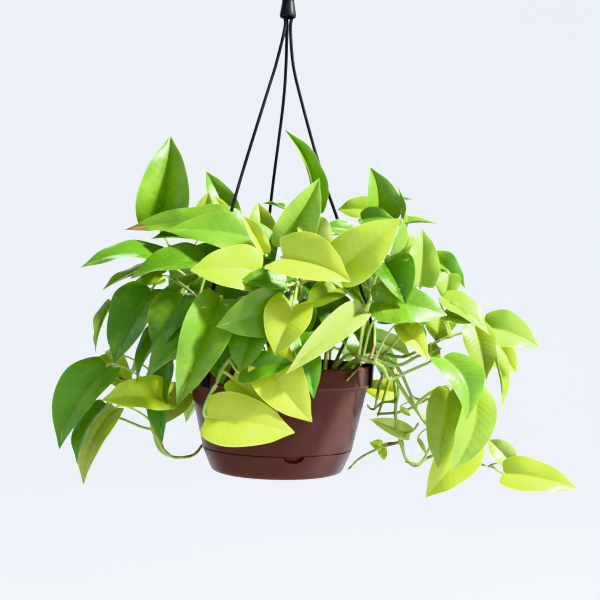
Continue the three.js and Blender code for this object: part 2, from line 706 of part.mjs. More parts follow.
    leaves: [
      { base: [171, -44, 193], tip: [220, -58, 157], width: 40, face: [2, -6, 8] },
      { base: [174, -50, 179], tip: [201, -62, 168], width: 30, face: [0, -8, 5] },
      { base: [220, -20, 164], tip: [279, -30, 144], width: 46, face: [1, -9, 4], arch: 7 },
      { base: [208, -30, 165], tip: [221, -44, 108], width: 38, face: [1, -10, 2] },
      { base: [236, 2, 136], tip: [261, -3, 114], width: 34, face: [0, -9, 4] },
      { base: [228, -15, 147], tip: [242, -25, 76], width: 26, face: [8, -6, 0], fold: 34 },
      { base: [173, -16, 180], tip: [169, -26, 146], width: 42, face: [0, -10, 0] },
    ],
  },
  {
    name: 'vine_right_front',
    colour: GREEN,
    soil: [55, -50],
    route: [
      [73, -60, 132], [95, -62, 127], [109, -58, 120], [117, -52, 107], [126, -50, 110],
      [142, -52, 118], [160, -58, 127],
    ],
    leaves: [
      { base: [105, -85, 230], tip: [127, -108, 187], width: 54, face: [6, -7, 2], fold: 36 },
      { base: [94, -100, 189], tip: [171, -94, 177], width: 50, face: [0, -7, 8], arch: 7 },
      { base: [103, -74, 171], tip: [152, -78, 166], width: 36, face: [0, -6, 8] },
      { base: [125, -85, 166], tip: [152, -102, 131], width: 28, face: [2, -9, 3] },
      { base: [170, -66, 132], tip: [204, -88, 63], width: 42, face: [2, -9, 2], arch: 8, bend: -12 },
      { base: [162, -40, 144], tip: [170, -44, 121], width: 14, face: [0, -10, 2] },
    ],
  },
  {
    name: 'vine_right_long',
    colour: GREEN,
    soil: [64, -32],
    route: [
      [84, -38, 127], [105, -39, 130], [126, -37, 119], [139, -36, 96], [145, -38, 82],
      [154, -42, 65], [164, -45, 54],
    ],
    leaves: [
      { base: [209, -52, 100], tip: [181, -72, 12], width: 37, face: [0, -10, 2], bend: -11 },
      { base: [180, -62, 98], tip: [168, -74, 17], width: 34, face: [-4, -9, 1] },
      { base: [207, -40, 44], tip: [158, -55, -17], width: 50, face: [0, -10, 2] },
      { base: [174, -30, 61], tip: [158, -32, 63], width: 10, face: [0, -10, 2] },
      { base: [132, -30, 74], tip: [143, -32, 66], width: 8, face: [0, -10, 2] },
    ],
  },
  {
    name: 'vine_lower_right',
    colour: LIME,
    soil: [80, 18],
    route: [
      [95, 15, 126], [118, 9, 124], [131, 2, 103], [129, 0, 63], [136, 0, 35], [143, 0, 14], [153, 0, 8],
      [166, -2, 18], [190, -8, 24], [214, -14, 16], [230, -18, 12],
    ],
    branches: [
      [[137, 0, 34], [124, 6, 30], [112, 14, 24], [92, 30, 10], [80, 38, -4]],
      [[130, 0, 78], [116, 12, 76], [105, 22, 67], [99, 30, 72]],
      [[119, 10, 122], [112, 14, 96], [107, 16, 66]],
      [[134, 0, 40], [148, -8, 48], [154, -12, 58]],
    ],
    leaves: [
      { base: [133, 30, 85], tip: [91, 35, 92], width: 28, face: [0, -10, 2] },
      { base: [145, 0, 43], tip: [99, -10, 60], width: 22, face: [0, -10, 3] },
      { base: [115, 10, 28], tip: [101, 5, 32], width: 14, face: [0, -10, 2] },
      { base: [116, 14, 25], tip: [119, 12, 11], width: 12, face: [0, -10, 2] },
      { base: [244, -30, 7], tip: [321, -45, -5], width: 40, face: [0, -9, 5] },
      { base: [251, -20, 20], tip: [230, -10, 41], width: 28, face: [0, -10, 3], lobe: 0.2 },
    ],
  },
];

// The vines at the back rise from the soil, arch over the rim and hang outside it. Their leaves
// stand to either side in turn, face outwards and point down.
const BACK_VINES = [
  { name: 'vine_back_right', colour: GREEN, turn: 34, height: 236, fall: 116, seed: 11 },
  { name: 'vine_back_far_right', colour: LIME, turn: 62, height: 250, fall: 58, seed: 23 },
  { name: 'vine_back', colour: GREEN, turn: 90, height: 238, fall: 40, seed: 35 },
  { name: 'vine_back_far_left', colour: LIME, turn: 117, height: 250, fall: 58, seed: 47 },
  { name: 'vine_back_left', colour: GREEN, turn: 153, height: 224, fall: 122, seed: 59 },
];
const BACK_LEAVES = 5;
const BACK_SOIL_RADIUS = 62;
const BACK_FALL_RADIUS = 124;
const BACK_LEAF_LENGTH = 66;
const BACK_LEAF_SLIMNESS = 0.66;
const BACK_FIRST_LEAF = 0.16;
const BACK_LEAF_SPAN = 0.8;
const BACK_SPREAD_TURN = 14;
const BACK_AIM_TURN = 28;

// Repeatable random numbers from 0 to 1.
function randomSource(seed) {
  const factor = 1664525;
  const step = 1013904223;
  const range = 2 ** 32;
  let state = seed;
  return () => {
    state = (state * factor + step) % range;
    return state / range;
  };
}

function backRoute({ turn, height, fall }) {
  const half = (height + fall) / 2;
  return [
    around(turn, 66, 160),
    around(turn, 78, height - 26),
    around(turn, 98, height - 12),
    around(turn, 116, half + 30),
    around(turn, BACK_FALL_RADIUS, half - 10),
    around(turn, BACK_FALL_RADIUS - 2, fall),
  ];
}

// A leaf stands off its stem at a share of its run, to one side of it.
function backLeaf(turn, point, share, side, random) {
  const outward = around(turn + side * BACK_SPREAD_TURN, 1, 0);
  const base = point.clone().addScaledVector(outward, 20 + 8 * random());
  base.addScaledVector(UP, 20 - 14 * share);
  base.addScaledVector(around(turn + 90, 1, 0), side * (9 + 5 * random()));
  const length = BACK_LEAF_LENGTH + 14 * random() - 12 * share;
  const way = around(turn + side * BACK_AIM_TURN, 0.75, -0.55 - 0.4 * share).normalize();
  const tip = base.clone().addScaledVector(way, length);
  const face = around(turn + side * 20, 1, 0.7);
  const width = length * BACK_LEAF_SLIMNESS;
  return { base: base.toArray(), tip: tip.toArray(), width, face: face.toArray() };
}

function growBackVine(vine) {
  const random = randomSource(vine.seed);
  const soil = around(vine.turn, BACK_SOIL_RADIUS, 0);
  const route = backRoute(vine);
  const curve = smoothCurve(route);
  const leaves = [];
  for (let i = 0; i < BACK_LEAVES; i += 1) {
    const share = BACK_FIRST_LEAF + BACK_LEAF_SPAN * i / (BACK_LEAVES - 1);
    const side = i % 2 === 0 ? 1 : -1;
    leaves.push(backLeaf(vine.turn, curve.getPoint(share), share, side, random));
  }
  return { ...vine, soil: [soil.x, soil.y], route: route.map((point) => point.toArray()), leaves };
}

const VINES = [...FRONT_VINES, ...BACK_VINES.map(growBackVine)];

// The whole object.
const model = new THREE.Group();
const plastic = material(BROWN, 0.42);
const darkPlastic = material(CHARCOAL, 0.4);

model.add(meshOf('pot', makePot(), plastic));
model.add(meshOf('saucer', makeSaucer(), plastic.clone()));
model.add(meshOf('soil', makeSoil(VINES.map((vine) => vine.soil)), material(EARTH, 0.95)));
model.add(meshOf('hanger_hook', makeHook(), darkPlastic));
for (const strand of STRANDS) {
  model.add(meshOf(strand.name, makeStrand(strand), darkPlastic.clone()));
}
for (const vine of VINES) {
  model.add(meshOf(vine.name, makeVine(vine), material(vine.colour, 0.4)));
}

const group = new THREE.Group();
model.position.z = -BEARING_Z;
group.add(model);

export default group;
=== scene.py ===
"""Golden pothos in a hanging pot.

The pot, saucer, soil, hanger and vines are made again here with fine surfaces, each in the
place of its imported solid. Points and sizes are in millimetres in the pot's own frame, with
Z = 0 at the saucer's underside, and place() turns them into the part's frame in metres.
"""

import math

import bmesh
import bpy
import numpy as np
from mathutils import Matrix, Vector, noise


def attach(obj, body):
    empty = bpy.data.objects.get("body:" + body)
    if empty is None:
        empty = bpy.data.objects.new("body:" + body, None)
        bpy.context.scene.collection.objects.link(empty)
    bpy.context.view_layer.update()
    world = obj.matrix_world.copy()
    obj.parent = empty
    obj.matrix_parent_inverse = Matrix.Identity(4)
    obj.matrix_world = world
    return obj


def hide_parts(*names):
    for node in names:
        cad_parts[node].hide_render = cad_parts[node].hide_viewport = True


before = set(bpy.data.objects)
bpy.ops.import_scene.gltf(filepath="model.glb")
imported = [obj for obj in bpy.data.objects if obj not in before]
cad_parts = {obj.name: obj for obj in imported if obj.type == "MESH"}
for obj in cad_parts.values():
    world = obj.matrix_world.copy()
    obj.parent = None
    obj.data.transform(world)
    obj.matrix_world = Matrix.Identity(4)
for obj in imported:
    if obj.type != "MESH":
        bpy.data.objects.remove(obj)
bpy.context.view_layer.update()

# Sizes.

BEARING_Z = 597.2
GAP = 0.4
RIM_Z = 118
RIM_RADIUS = 101
RIM_BAND = 22
RIM_WALL = 4
RIM_EDGE = 1.5
BODY_TOP_RADIUS = 98
WALL = 2.2
SEAM_Z = 26
SEAM_RADIUS = 82.6
SAUCER_FLOOR = 2.5
SAUCER_FOOT_RADIUS = 69
SAUCER_CURVE_RADIUS = 71.6
SAUCER_CURVE_Z = 5.2
SAUCER_CURVE_RISE = 20.8
SAUCER_CURVE_FLARE = 8.8
FIT_GAP = 0.9
POT_FLOOR_Z = 8
POT_FLOOR = 3
POT_FOOT_RADIUS = 66
FOOT_RING_RADIUS = 53
FOOT_RING_WALL = 5
DRAIN_RADIUS = 3.5
DRAIN_RING = 36
DRAIN_COUNT = 4
DRAIN_TURN = 45
DRAIN_SIDES = 28
NOTCH_WIDTH = 22
NOTCH_DEPTH = 7
NOTCH_TURN = -77
NOTCH_REACH = 14
NOTCH_STEPS = 24
ROUND_SIDES = 128
CREASE_ANGLE = 34

SOIL_Z = 104
SOIL_DOME = 5
SOIL_GAP = 0.8
SOIL_FLOOR_Z = 11.4
SOIL_RINGS = 34
ROOT_DEPTH = 24

HUB_Z = 497
HUB_HEIGHT = 34
HUB_FOOT_RADIUS = 9.4
HUB_NECK_RADIUS = 7
STRAND_RADIUS = 2
STRAND_RING = 4.4
STRAND_SEAT = 6
STRAND_SWELL = 0.5
STRAND_SWELL_STEPS = 2.2
HOOK_ROD_RADIUS = 2.8
HOOK_RADIUS = 20
HOOK_CENTRE_Z = 580
HOOK_START_TURN = -52
HOOK_END_TURN = 215
HOOK_STEP_TURN = 26.7
CLIP_WIDTH = 12
CLIP_WALL = 3
CLIP_DROP = 26
CLIP_INNER_DROP = 10
CLIP_INNER_WALL = 1.6
CLIP_ROUNDING = 0.5
CLIP_ANGLE = 40

STEM_RADIUS = 2.1
STEM_SPACING = 2.5
STEM_TIP_RADIUS = 0.25
NODE_SWELL = 0.7
NODE_REACH = 3.2
NODE_MOST_SWELL = 0.9
BRANCH_RADIUS = 1.7
PETIOLE_RADIUS = 1.45
PETIOLE_RISE = 0.2
PETIOLE_LEAN = 0.25
PETIOLE_LEAD = 9
RIB_SHARES = (0.04, 0.1, 0.18, 0.28, 0.4, 0.54, 0.68, 0.82, 0.92)
RIB_SLIMNESS = 0.72
RIB_LEAST_RADIUS = 0.12
ROOT_CLEAR = 6
BLADE_THICKNESS = 0.55
LEAF_LOBE = 0.04
LEAF_FOLD = 20
LEAF_ARCH = 0.07
EDGE_WAVE = 1.4
LEAF_ROWS = 30
LEAF_COLUMNS = 8

# The shares of a leaf's rib where a crown leaf's distance to others is taken.
LEAF_SPOTS = (0.15, 0.5, 0.85)

# Leaf colours as they are in the young, the full-grown and the shaded leaves; the darkest tone is painted
# shade, the dark green that leaves take in shade.
TONES = {
    "lime": (0.292, 0.384, 0.038),
    "yellow": (0.310, 0.366, 0.036),
    "pale": (0.324, 0.387, 0.099),
    "fresh": (0.102, 0.204, 0.019),
    "light": (0.205, 0.325, 0.048),
    "green": (0.068, 0.165, 0.012),
    "painted_shade": (0.040, 0.118, 0.005),
    "olive": (0.167, 0.243, 0.023),
    "tan": (0.240, 0.262, 0.056),
}


def leaf(base, tip, width, face, tone, fold=LEAF_FOLD, arch=None, bend=0, lobe=LEAF_LOBE,
         root=None, flecks=0.0, dry=0.0):
    """A leaf by the ends of its rib, its width, the way its upper face looks and its colour."""
    return {
        "base": Vector(base), "tip": Vector(tip), "width": width, "face": Vector(face),
        "tone": tone, "fold": math.radians(fold), "arch": arch, "bend": bend, "lobe": lobe,
        "root": root, "flecks": flecks, "dry": dry,
    }


def vine(name, soil, route, leaves, branches=()):
    """A vine by where it stands in the soil, where it runs, its leaves and its side shoots."""
    return {"name": name, "soil": soil, "route": route, "leaves": leaves, "branches": branches}


# The vines that show from the front. Most leaves are placed as the photo shows them, and a few
# dark ones, whose darkest tone is painted shade, only fill the shade behind those.
FRONT_VINES = [
    vine("vine_upper_left", (-40, 30), [
        (-46, 30, 160), (-66, 28, 210), (-100, 24, 236), (-126, 18, 244),
    ], [
        leaf((-137, 24, 262), (-129, 28, 369), 72, (0, -10, 1), "fresh", fold=36, arch=8, bend=3),
        leaf((-50, 4, 272), (-173, -8, 260), 38, (0, -8, 5), "fresh", arch=6, dry=0.7),
        leaf((-72, 4, 247), (-143, -20, 250), 46, (0, -4, 10), "painted_shade"),
        leaf((-58, 42, 269), (-90, 50, 332), 36, (1, -10, 3), "fresh", fold=25),
        leaf((-90, 25, 264), (-85, 30, 307), 26, (-2, -10, 3), "lime"),
        leaf((-63, 26, 274), (-79, 30, 303), 18, (2, -10, 3), "lime"),
    ]),
    vine("vine_crown_left", (-25, -8), [(-25, -10, 150), (-22, -14, 200), (-16, -18, 230)], [
        leaf((-12, -50, 244), (-122, -68, 257), 48, (0, -9, 5), "fresh", fold=12, arch=6, bend=5),
        leaf((-17, -88, 235), (-41, -82, 275), 22, (3, -9, 2), "yellow", fold=40),
        leaf((-21, 40, 249), (-30, 50, 298), 36, (0, -10, 2), "olive"),
        leaf((1, -6, 288), (-24, 2, 293), 14, (0, -2, 10), "green"),
        leaf((-19, -42, 255), (-21, -52, 196), 40, (-2, -9, 3), "painted_shade"),
        leaf((-52, -45, 227), (-108, -55, 229), 40, (0, -8, 5), "painted_shade"),
    ]),
    vine("vine_left", (-70, 8), [(-76, 8, 150), (-96, 4, 190), (-120, 0, 208)], [
        leaf((-124, -15, 230), (-215, -38, 216), 46, (-1, -5, 8), "green", fold=12, arch=12),
        leaf((-128, -12, 220), (-193, -34, 192), 34, (3, -1, 10), "olive"),
        leaf((-130, -8, 210), (-155, -18, 199), 26, (0, -8, 5), "olive"),
        leaf((-137, -40, 196), (-172, -60, 116), 64, (-4, -8, 3), "painted_shade", fold=18),
        leaf((-186, 0, 180), (-201, -10, 124), 40, (-10, -1, 2), "green"),
    ]),
    vine("vine_front_left", (-55, -45), [(-60, -55, 140), (-70, -70, 162), (-86, -74, 174)], [
        leaf((-79, -66, 226), (-155, -80, 206), 44, (0, -6, 7), "green", arch=9),
        leaf((-100, -70, 191), (-127, -85, 129), 50, (-4, -8, 2), "painted_shade", fold=18),
        leaf((-114, -50, 166), (-148, -65, 98), 42, (-8, -5, 2), "painted_shade"),
        leaf((-80, -85, 160), (-134, -95, 106), 44, (-4, -8, 5), "green", flecks=0.5),
        leaf((-58, -105, 188), (-98, -130, 82), 58, (1, -10, 3), "fresh", fold=32, arch=9, flecks=0.6),
        leaf((-46, -50, 185), (-96, -60, 198), 40, (0, -8, 5), "painted_shade"),
        leaf((-65, -88, 156), (-56, -98, 101), 40, (0, -9, 3), "painted_shade"),
    ]),
    vine("vine_lower_left", (-70, -22), [
        (-84, -22, 128), (-112, -18, 130), (-132, -12, 100), (-137, -5, 48), (-130, 0, 20),
        (-117, 5, 11), (-95, 18, 11), (-86, 34, 20), (-72, 66, 38), (-50, 96, 52),
    ], [
        leaf((-120, -40, 119), (-121, -50, 33), 40, (-5, -7, 2), "painted_shade"),
        leaf((-116, -52, 82), (-184, -65, 79), 46, (-1, -8, 6), "lime", lobe=0.2),
        leaf((-185, -20, 112), (-232, -40, 22), 56, (-3, -9, 2), "green", arch=8, bend=9, root=(-135,
             -12, 84)),
        leaf((-194, 20, 123), (-160, 10, 78), 36, (-2, -9, 2), "olive", root=(-133, -14, 98)),
        leaf((-184, -30, 71), (-212, -45, 8), 40, (-7, -6, 2), "green", bend=7, root=(-136, -8, 60)),
        leaf((-177, -10, 65), (-208, -25, -18), 36, (-4, -9, -2), "tan", bend=8, root=(-137, -5, 48)),
        leaf((-103, -8, 86), (-131, -14, 47), 38, (-2, -9, 1), "tan"),
    ]),
    vine("vine_front", (-15, -60), [
        (-18, -78, 130), (-25, -98, 142), (-40, -110, 135), (-54, -112, 120), (-61, -117, 102),
    ], [
        leaf((-69, -125, 71), (19, -130, 58), 56, (2, -10, 3), "yellow", fold=10),
        leaf((-45, -110, 109), (3, -114, 71), 36, (0, -10, 2), "lime"),
        leaf((-37, -122, 116), (16, -130, 127), 36, (0, -9, 5), "green"),
        leaf((-12, -115, 138), (36, -124, 68), 56, (0, -10, 3), "yellow", fold=16, bend=6),
        leaf((-22, -112, 166), (-37, -124, 115), 46, (-1, -7, 6), "green", flecks=0.3),
        leaf((20, -106, 153), (37, -120, 91), 32, (3, -9, 2), "green"),
        leaf((-17, -95, 157), (-2, -105, 116), 36, (0, -9, 4), "painted_shade"),
    ]),
    vine("vine_front_centre", (15, -45), [
        (15, -60, 150), (12, -80, 192), (24, -90, 208), (44, -92, 210),
    ], [
        leaf((-19, -105, 216), (-89, -125, 216), 52, (0, -10, 4), "lime", fold=14),
        leaf((3, -120, 231), (70, -138, 208), 58, (0, -9, 4), "lime", fold=26, bend=-3, lobe=0.26),
        leaf((-22, -95, 211), (17, -100, 207), 30, (0, -5, 8), "painted_shade"),
        leaf((6, -112, 203), (-40, -125, 206), 34, (0, -7, 7), "green"),
        leaf((6, -115, 182), (-61, -137, 161), 50, (1, -10, 0), "fresh", fold=8, arch=6),
        leaf((14, -125, 183), (-2, -142, 134), 50, (0, -8, 5), "lime", fold=22, lobe=0.3),
        leaf((83, -100, 179), (9, -146, 117), 40, (3, -8, 5), "pale", fold=44),
        leaf((56, -100, 218), (120, -115, 273), 54, (4, -9, 4), "lime", fold=14),
        leaf((62, -92, 203), (26, -106, 180), 34, (0, -8, 6), "olive"),
    ]),
    vine("vine_crown_centre", (22, -10), [(22, -16, 170), (20, -28, 220), (20, -38, 243)], [
        leaf((5, -60, 243), (38, -75, 315), 54, (2, -9, 3), "light", fold=38),
        leaf((33, -34, 281), (-1, -40, 370), 40, (4, -8, 2), "fresh", fold=58, arch=4, bend=9),
        leaf((74, -60, 261), (40, -78, 263), 22, (0, -9, 5), "green"),
        leaf((26, -72, 268), (54, -88, 236), 34, (0, -9, 4), "pale"),
        leaf((20, -30, 229), (68, -40, 243), 38, (0, -9, 4), "painted_shade"),
        leaf((21, -30, 188), (18, -40, 135), 40, (0, -9, 3), "painted_shade"),
        leaf((18, 10, 210), (64, 4, 169), 44, (0, -9, 3), "painted_shade"),
    ]),
    vine("vine_crown_right", (50, 12), [(57, 12, 170), (74, 12, 220), (94, 10, 248), (114, 6, 258)], [
        leaf((105, 10, 272), (94, 0, 336), 50, (2, -9, 1), "fresh", fold=34, bend=5),
        leaf((85, -16, 277), (120, -26, 278), 26, (0, -9, 5), "green"),
        leaf((104, 60, 291), (61, 60, 292), 34, (0, -9, 4), "olive"),
        leaf((128, -10, 260), (125, 0, 317), 26, (10, -2, 0), "fresh"),
        leaf((112, 40, 300), (148, 40, 304), 20, (0, -1, 10), "fresh"),
        leaf((128, 6, 274), (171, 4, 275), 22, (0, -3, 10), "fresh"),
        leaf((127, -40, 274), (112, -55, 234), 26, (9, -4, 2), "fresh"),
        leaf((76, -30, 230), (53, -40, 189), 40, (0, -9, 4), "painted_shade"),
        leaf((54, -20, 189), (71, -30, 141), 42, (0, -9, 3), "painted_shade"),
        leaf((71, 12, 191), (31, 4, 153), 46, (0, -9, 3), "painted_shade"),
        leaf((80, 20, 156), (103, 14, 116), 38, (0, -9, 3), "painted_shade"),
    ]),
    vine("vine_right", (60, 34), [(78, 30, 150), (108, 22, 190), (138, 16, 212), (158, 12, 220)], [
        leaf((149, 20, 258), (129, 16, 240), 30, (0, -10, 3), "light"),
        leaf((151, -20, 206), (152, -14, 269), 40, (1, -9, 2), "light", fold=24),
        leaf((165, 10, 238), (202, -5, 204), 34, (0, -9, 6), "green"),
        leaf((182, -10, 220), (178, -16, 190), 30, (0, -9, 3), "light"),
        leaf((161, 30, 222), (174, 20, 203), 30, (0, -9, 3), "olive"),
    ]),
    vine("vine_far_right", (76, -2), [
        (90, -4, 126), (112, -8, 131), (134, -18, 129), (156, -28, 140), (180, -27, 152),
        (204, -25, 159),
    ], [
        leaf((171, -44, 193), (220, -58, 157), 40, (2, -6, 8), "olive"),
        leaf((174, -50, 179), (201, -62, 168), 30, (0, -8, 5), "light"),
        leaf((220, -20, 164), (279, -30, 144), 46, (1, -9, 4), "light", arch=7),
        leaf((208, -30, 165), (221, -44, 108), 38, (1, -10, 2), "olive"),
        leaf((236, 2, 136), (261, -3, 114), 34, (0, -9, 4), "yellow"),
        leaf((228, -15, 147), (242, -25, 76), 26, (8, -6, 0), "lime", fold=34),
        leaf((173, -16, 180), (169, -26, 146), 42, (0, -10, 0), "olive"),
    ]),
    vine("vine_right_front", (55, -50), [
        (73, -60, 132), (95, -62, 127), (109, -58, 120), (117, -52, 107), (126, -50, 110),
        (142, -52, 118), (160, -58, 127),
    ], [
        leaf((105, -85, 230), (127, -108, 187), 54, (3, -9, 2), "painted_shade", fold=30, flecks=0.7),
        leaf((94, -100, 189), (171, -94, 177), 48, (0, -10, 5), "green", fold=10, arch=6, flecks=0.5),
        leaf((103, -74, 171), (152, -78, 166), 36, (0, -6, 8), "painted_shade"),
        leaf((125, -85, 166), (152, -102, 131), 28, (2, -9, 3), "yellow"),
        leaf((170, -66, 132), (194, -88, 69), 46, (3, -9, 2), "fresh", arch=8, bend=-11),
        leaf((162, -40, 144), (170, -44, 121), 14, (0, -10, 2), "olive"),
    ]),
    vine("vine_right_long", (64, -32), [
        (84, -38, 127), (105, -39, 130), (126, -37, 119), (139, -36, 96), (145, -38, 82),
        (154, -42, 65), (164, -45, 54),
    ], [
        leaf((207, -52, 102), (181, -72, 12), 46, (1, -10, 2), "light", bend=-9),
        leaf((180, -62, 98), (168, -74, 17), 40, (-4, -9, 1), "olive", flecks=0.2),
        leaf((207, -40, 44), (158, -55, -17), 50, (0, -10, 2), "yellow", flecks=0.5),
        leaf((174, -30, 61), (158, -32, 63), 10, (0, -10, 2), "pale"),
        leaf((132, -30, 74), (143, -32, 66), 8, (0, -10, 2), "pale"),
        leaf((184, -46, 99), (191, -49, 83), 10, (0, -10, 2), "lime"),
        leaf((150, -46, 44), (160, -48, 26), 6, (0, -10, 2), "pale"),
    ]),
    vine("vine_lower_right", (80, 18), [
        (95, 15, 126), (118, 9, 124), (131, 2, 103), (129, 0, 63), (136, 0, 35), (143, 0, 14),
        (153, 0, 8), (166, -2, 18), (190, -8, 24), (214, -14, 16), (230, -18, 12),
    ], [
        leaf((133, 30, 85), (91, 35, 92), 28, (0, -10, 2), "yellow"),
        leaf((145, 0, 43), (99, -10, 60), 22, (0, -10, 3), "pale"),
        leaf((115, 10, 28), (101, 5, 32), 14, (0, -10, 2), "lime"),
        leaf((116, 14, 25), (119, 12, 11), 12, (0, -10, 2), "lime"),
        leaf((244, -30, 7), (321, -45, -5), 42, (0, -9, 5), "yellow", flecks=0.4),
        leaf((251, -20, 20), (230, -10, 41), 28, (0, -10, 3), "pale", lobe=0.2),
    ], [
        [(137, 0, 34), (124, 6, 30), (112, 14, 24), (92, 30, 10), (80, 38, -4)],
        [(130, 0, 78), (116, 12, 76), (105, 22, 67), (99, 30, 72)],
        [(119, 10, 122), (112, 14, 96), (107, 16, 66)],
        [(134, 0, 40), (148, -8, 48), (154, -12, 58)],
    ]),
]

# The vines at the back rise from the soil, arch over the rim and hang outside it: the colours of
# their leaves, their turn about the pot, how high they rise, how low they hang and their seed.
BACK_VINES = [
    {"name": name, "tones": tones, "turn": turn, "height": height, "fall": fall, "seed": seed}
    for name, tones, turn, height, fall, seed in (
        ("vine_back_right", ("green", "fresh"), 34, 236, 116, 11),
        ("vine_back_far_right", ("lime", "fresh"), 62, 250, 58, 23),
        ("vine_back", ("green", "fresh"), 90, 238, 40, 35),
        ("vine_back_far_left", ("fresh", "lime"), 117, 250, 58, 47),
        ("vine_back_left", ("green", "fresh"), 153, 224, 122, 59),
    )
]
BACK_LEAVES = 5
BACK_SOIL_RADIUS = 62
BACK_FALL_RADIUS = 124

STRANDS = [
    {
        "name": "hanger_strand_left",
        "turn": 222,
        "through": [(-11, -9, 446), (-22, -17, 405), (-51, -41, 294), (-69, -58, 205), (-79, -69, 150)],
    },
    {
        "name": "hanger_strand_right",
        "turn": 348,
        "through": [
            (7, -5, 446), (17, -6, 406), (42, -10, 324), (58, -13, 281), (85, -18, 208), (101, -21, 155),
        ],
    },
    {
        "name": "hanger_strand_back",
        "turn": 105,
        "through": [(-1, 12, 446), (-3, 22, 409), (-15, 55, 301), (-22, 84, 208), (-27, 100, 150)],
    },
]


# Small tools.


def place(point):
    """A point of the pot's frame in millimetres, as metres in the part's frame."""
    x, y, z = point
    return Vector((x, y, z - BEARING_Z)) / 1000


def around(turn, radius, z):
    angle = math.radians(turn)
    return Vector((radius * math.cos(angle), radius * math.sin(angle), z))


def smooth(low, high, value):
    share = np.clip((value - low) / (high - low), 0, 1)
    return share * share * (3 - 2 * share)


def curve_spans(points):
    """Each span of a centripetal curve through the points: its ends and its slopes there."""
    points = [Vector(p) for p in points]
    ends = [2 * points[0] - points[1], *points, 2 * points[-1] - points[-2]]
    found = []
    for before, start, stop, after in zip(ends, ends[1:], ends[2:], ends[3:]):
        pairs = ((before, start), (start, stop), (stop, after))
        left, own, right = (max((b - a).length, 1e-6) ** 0.5 for a, b in pairs)
        first = (start - before) / left - (stop - before) / (left + own) + (stop - start) / own
        last = (stop - start) / own - (after - start) / (own + right) + (after - stop) / right
        found.append((start, stop, first * own, last * own))
    return found


def on_span(span, t):
    start, stop, first, last = span
    bend = start * (2 * t ** 3 - 3 * t * t + 1) + first * (t ** 3 - 2 * t * t + t)
    return bend + stop * (3 * t * t - 2 * t ** 3) + last * (t ** 3 - t * t)


def smooth_curve(points, spacing):
    """Points about so far apart along a centripetal curve through the given ones."""
    found = [Vector(points[0])]
    for span in curve_spans(points):
        steps = max(1, round((span[1] - span[0]).length / spacing))
        found += [on_span(span, step / steps) for step in range(1, steps + 1)]
    return found


def at_share(points, share):
    """The point of a centripetal curve at a share of its spans, each counted as equally long."""
    spans = curve_spans(points)
    whole = min(int(share * len(spans)), len(spans) - 1)
    return on_span(spans[whole], share * len(spans) - whole)


def nearest_on(path, target):
    """The point of a path, above the soil or outside the rim, that is nearest to a target."""
    best, least = None, None
    for start, stop in zip(path, path[1:]):
        span = stop - start
        share = max(0.0, min(1.0, (target - start).dot(span) / max(span.length_squared, 1e-9)))
        point = start + span * share
        if point.z < SOIL_Z + ROOT_CLEAR and point.xy.length < RIM_RADIUS + ROOT_CLEAR:
            continue
        if least is None or (point - target).length < least:
            best, least = point, (point - target).length
    return best


def crease(mesh, degrees):
    """Marks the edges that are sharper than an angle, and shades the rest smooth."""
    made = bmesh.new()
    made.from_mesh(mesh)
    for face in made.faces:
        face.smooth = True
    for edge in made.edges:
        edge.smooth = edge.is_manifold and edge.calc_face_angle(0) < math.radians(degrees)
    made.to_mesh(mesh)
    made.free()


def linked(name, data):
    """A new object with this data, in the scene."""
    made = bpy.data.objects.new(name, data)
    bpy.context.scene.collection.objects.link(made)
    return made


def mesh_object(name, vertices, faces, skin=None):
    mesh = bpy.data.meshes.new(name)
    mesh.from_pydata([tuple(v) for v in vertices], [], faces)
    mesh.update()
    if skin is not None:
        mesh.materials.append(skin)
    return linked(name, mesh)


def welded(made, turn_outwards=True):
    """Merges doubles and, if asked, turns every face outwards."""
    solid = bmesh.new()
    solid.from_mesh(made.data)
    bmesh.ops.remove_doubles(solid, verts=solid.verts, dist=1e-6)
    if turn_outwards:
        bmesh.ops.recalc_face_normals(solid, faces=solid.faces)
    solid.to_mesh(made.data)
    solid.free()
    return made


def plain_mesh(made):
    """A mesh of an object as its modifiers leave it."""
    return bpy.data.meshes.new_from_object(made.evaluated_get(bpy.context.evaluated_depsgraph_get()))


def settled(made):
    """Turns an object's modifiers into its plain mesh."""
    plain = plain_mesh(made)
    made.modifiers.clear()
    old, made.data = made.data, plain
    bpy.data.meshes.remove(old)
    return made


def ring_faces(rings, sides):
    """The faces between rings of points that follow one another."""
    faces = []
    for ring in range(rings - 1):
        for side in range(sides):
            a, b = ring * sides + side, ring * sides + (side + 1) % sides
            faces.append((a, b, b + sides, a + sides))
    return faces


def joined(name, objects):
    """One object from several, with the materials and attributes of all of them."""
    first = objects[0]
    if len(objects) > 1:
        with bpy.context.temp_override(active_object=first, object=first, selected_objects=objects,
                                       selected_editable_objects=objects):
            bpy.ops.object.join()
    first.name = name
    first.data.name = name
    return first


def dress(piece, slot, *nodes):
    """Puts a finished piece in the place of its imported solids."""
    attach(piece, "root")
    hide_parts(*nodes)
    return piece


def rounded(profile, radius, steps=4):
    """A profile with its inner corners rounded as far as its sides allow."""
    points = [Vector(p) for p in profile]
    found = [points[0]]
    for before, corner, after in zip(points, points[1:], points[2:]):
        to_before, to_after = before - corner, after - corner
        reach = min(radius, 0.4 * to_before.length, 0.4 * to_after.length)
        start = corner + to_before.normalized() * reach
        stop = corner + to_after.normalized() * reach
        for step in range(steps + 1):
            t = step / steps
            found.append(start * (1 - t) ** 2 + corner * (2 * t * (1 - t)) + stop * (t * t))
    found.append(points[-1])
    return found


def turned(name, profile, skin, sides=ROUND_SIDES, degrees=30):
    """A solid of revolution about Z from [radius, z] points, closed at the axis."""
    vertices = [place(around(360 * side / sides, max(radius, 0), z))
                for radius, z in profile for side in range(sides)]
    made = welded(mesh_object(name, vertices, ring_faces(len(profile), sides), skin))
    crease(made.data, degrees)
    return made


# Node trees.


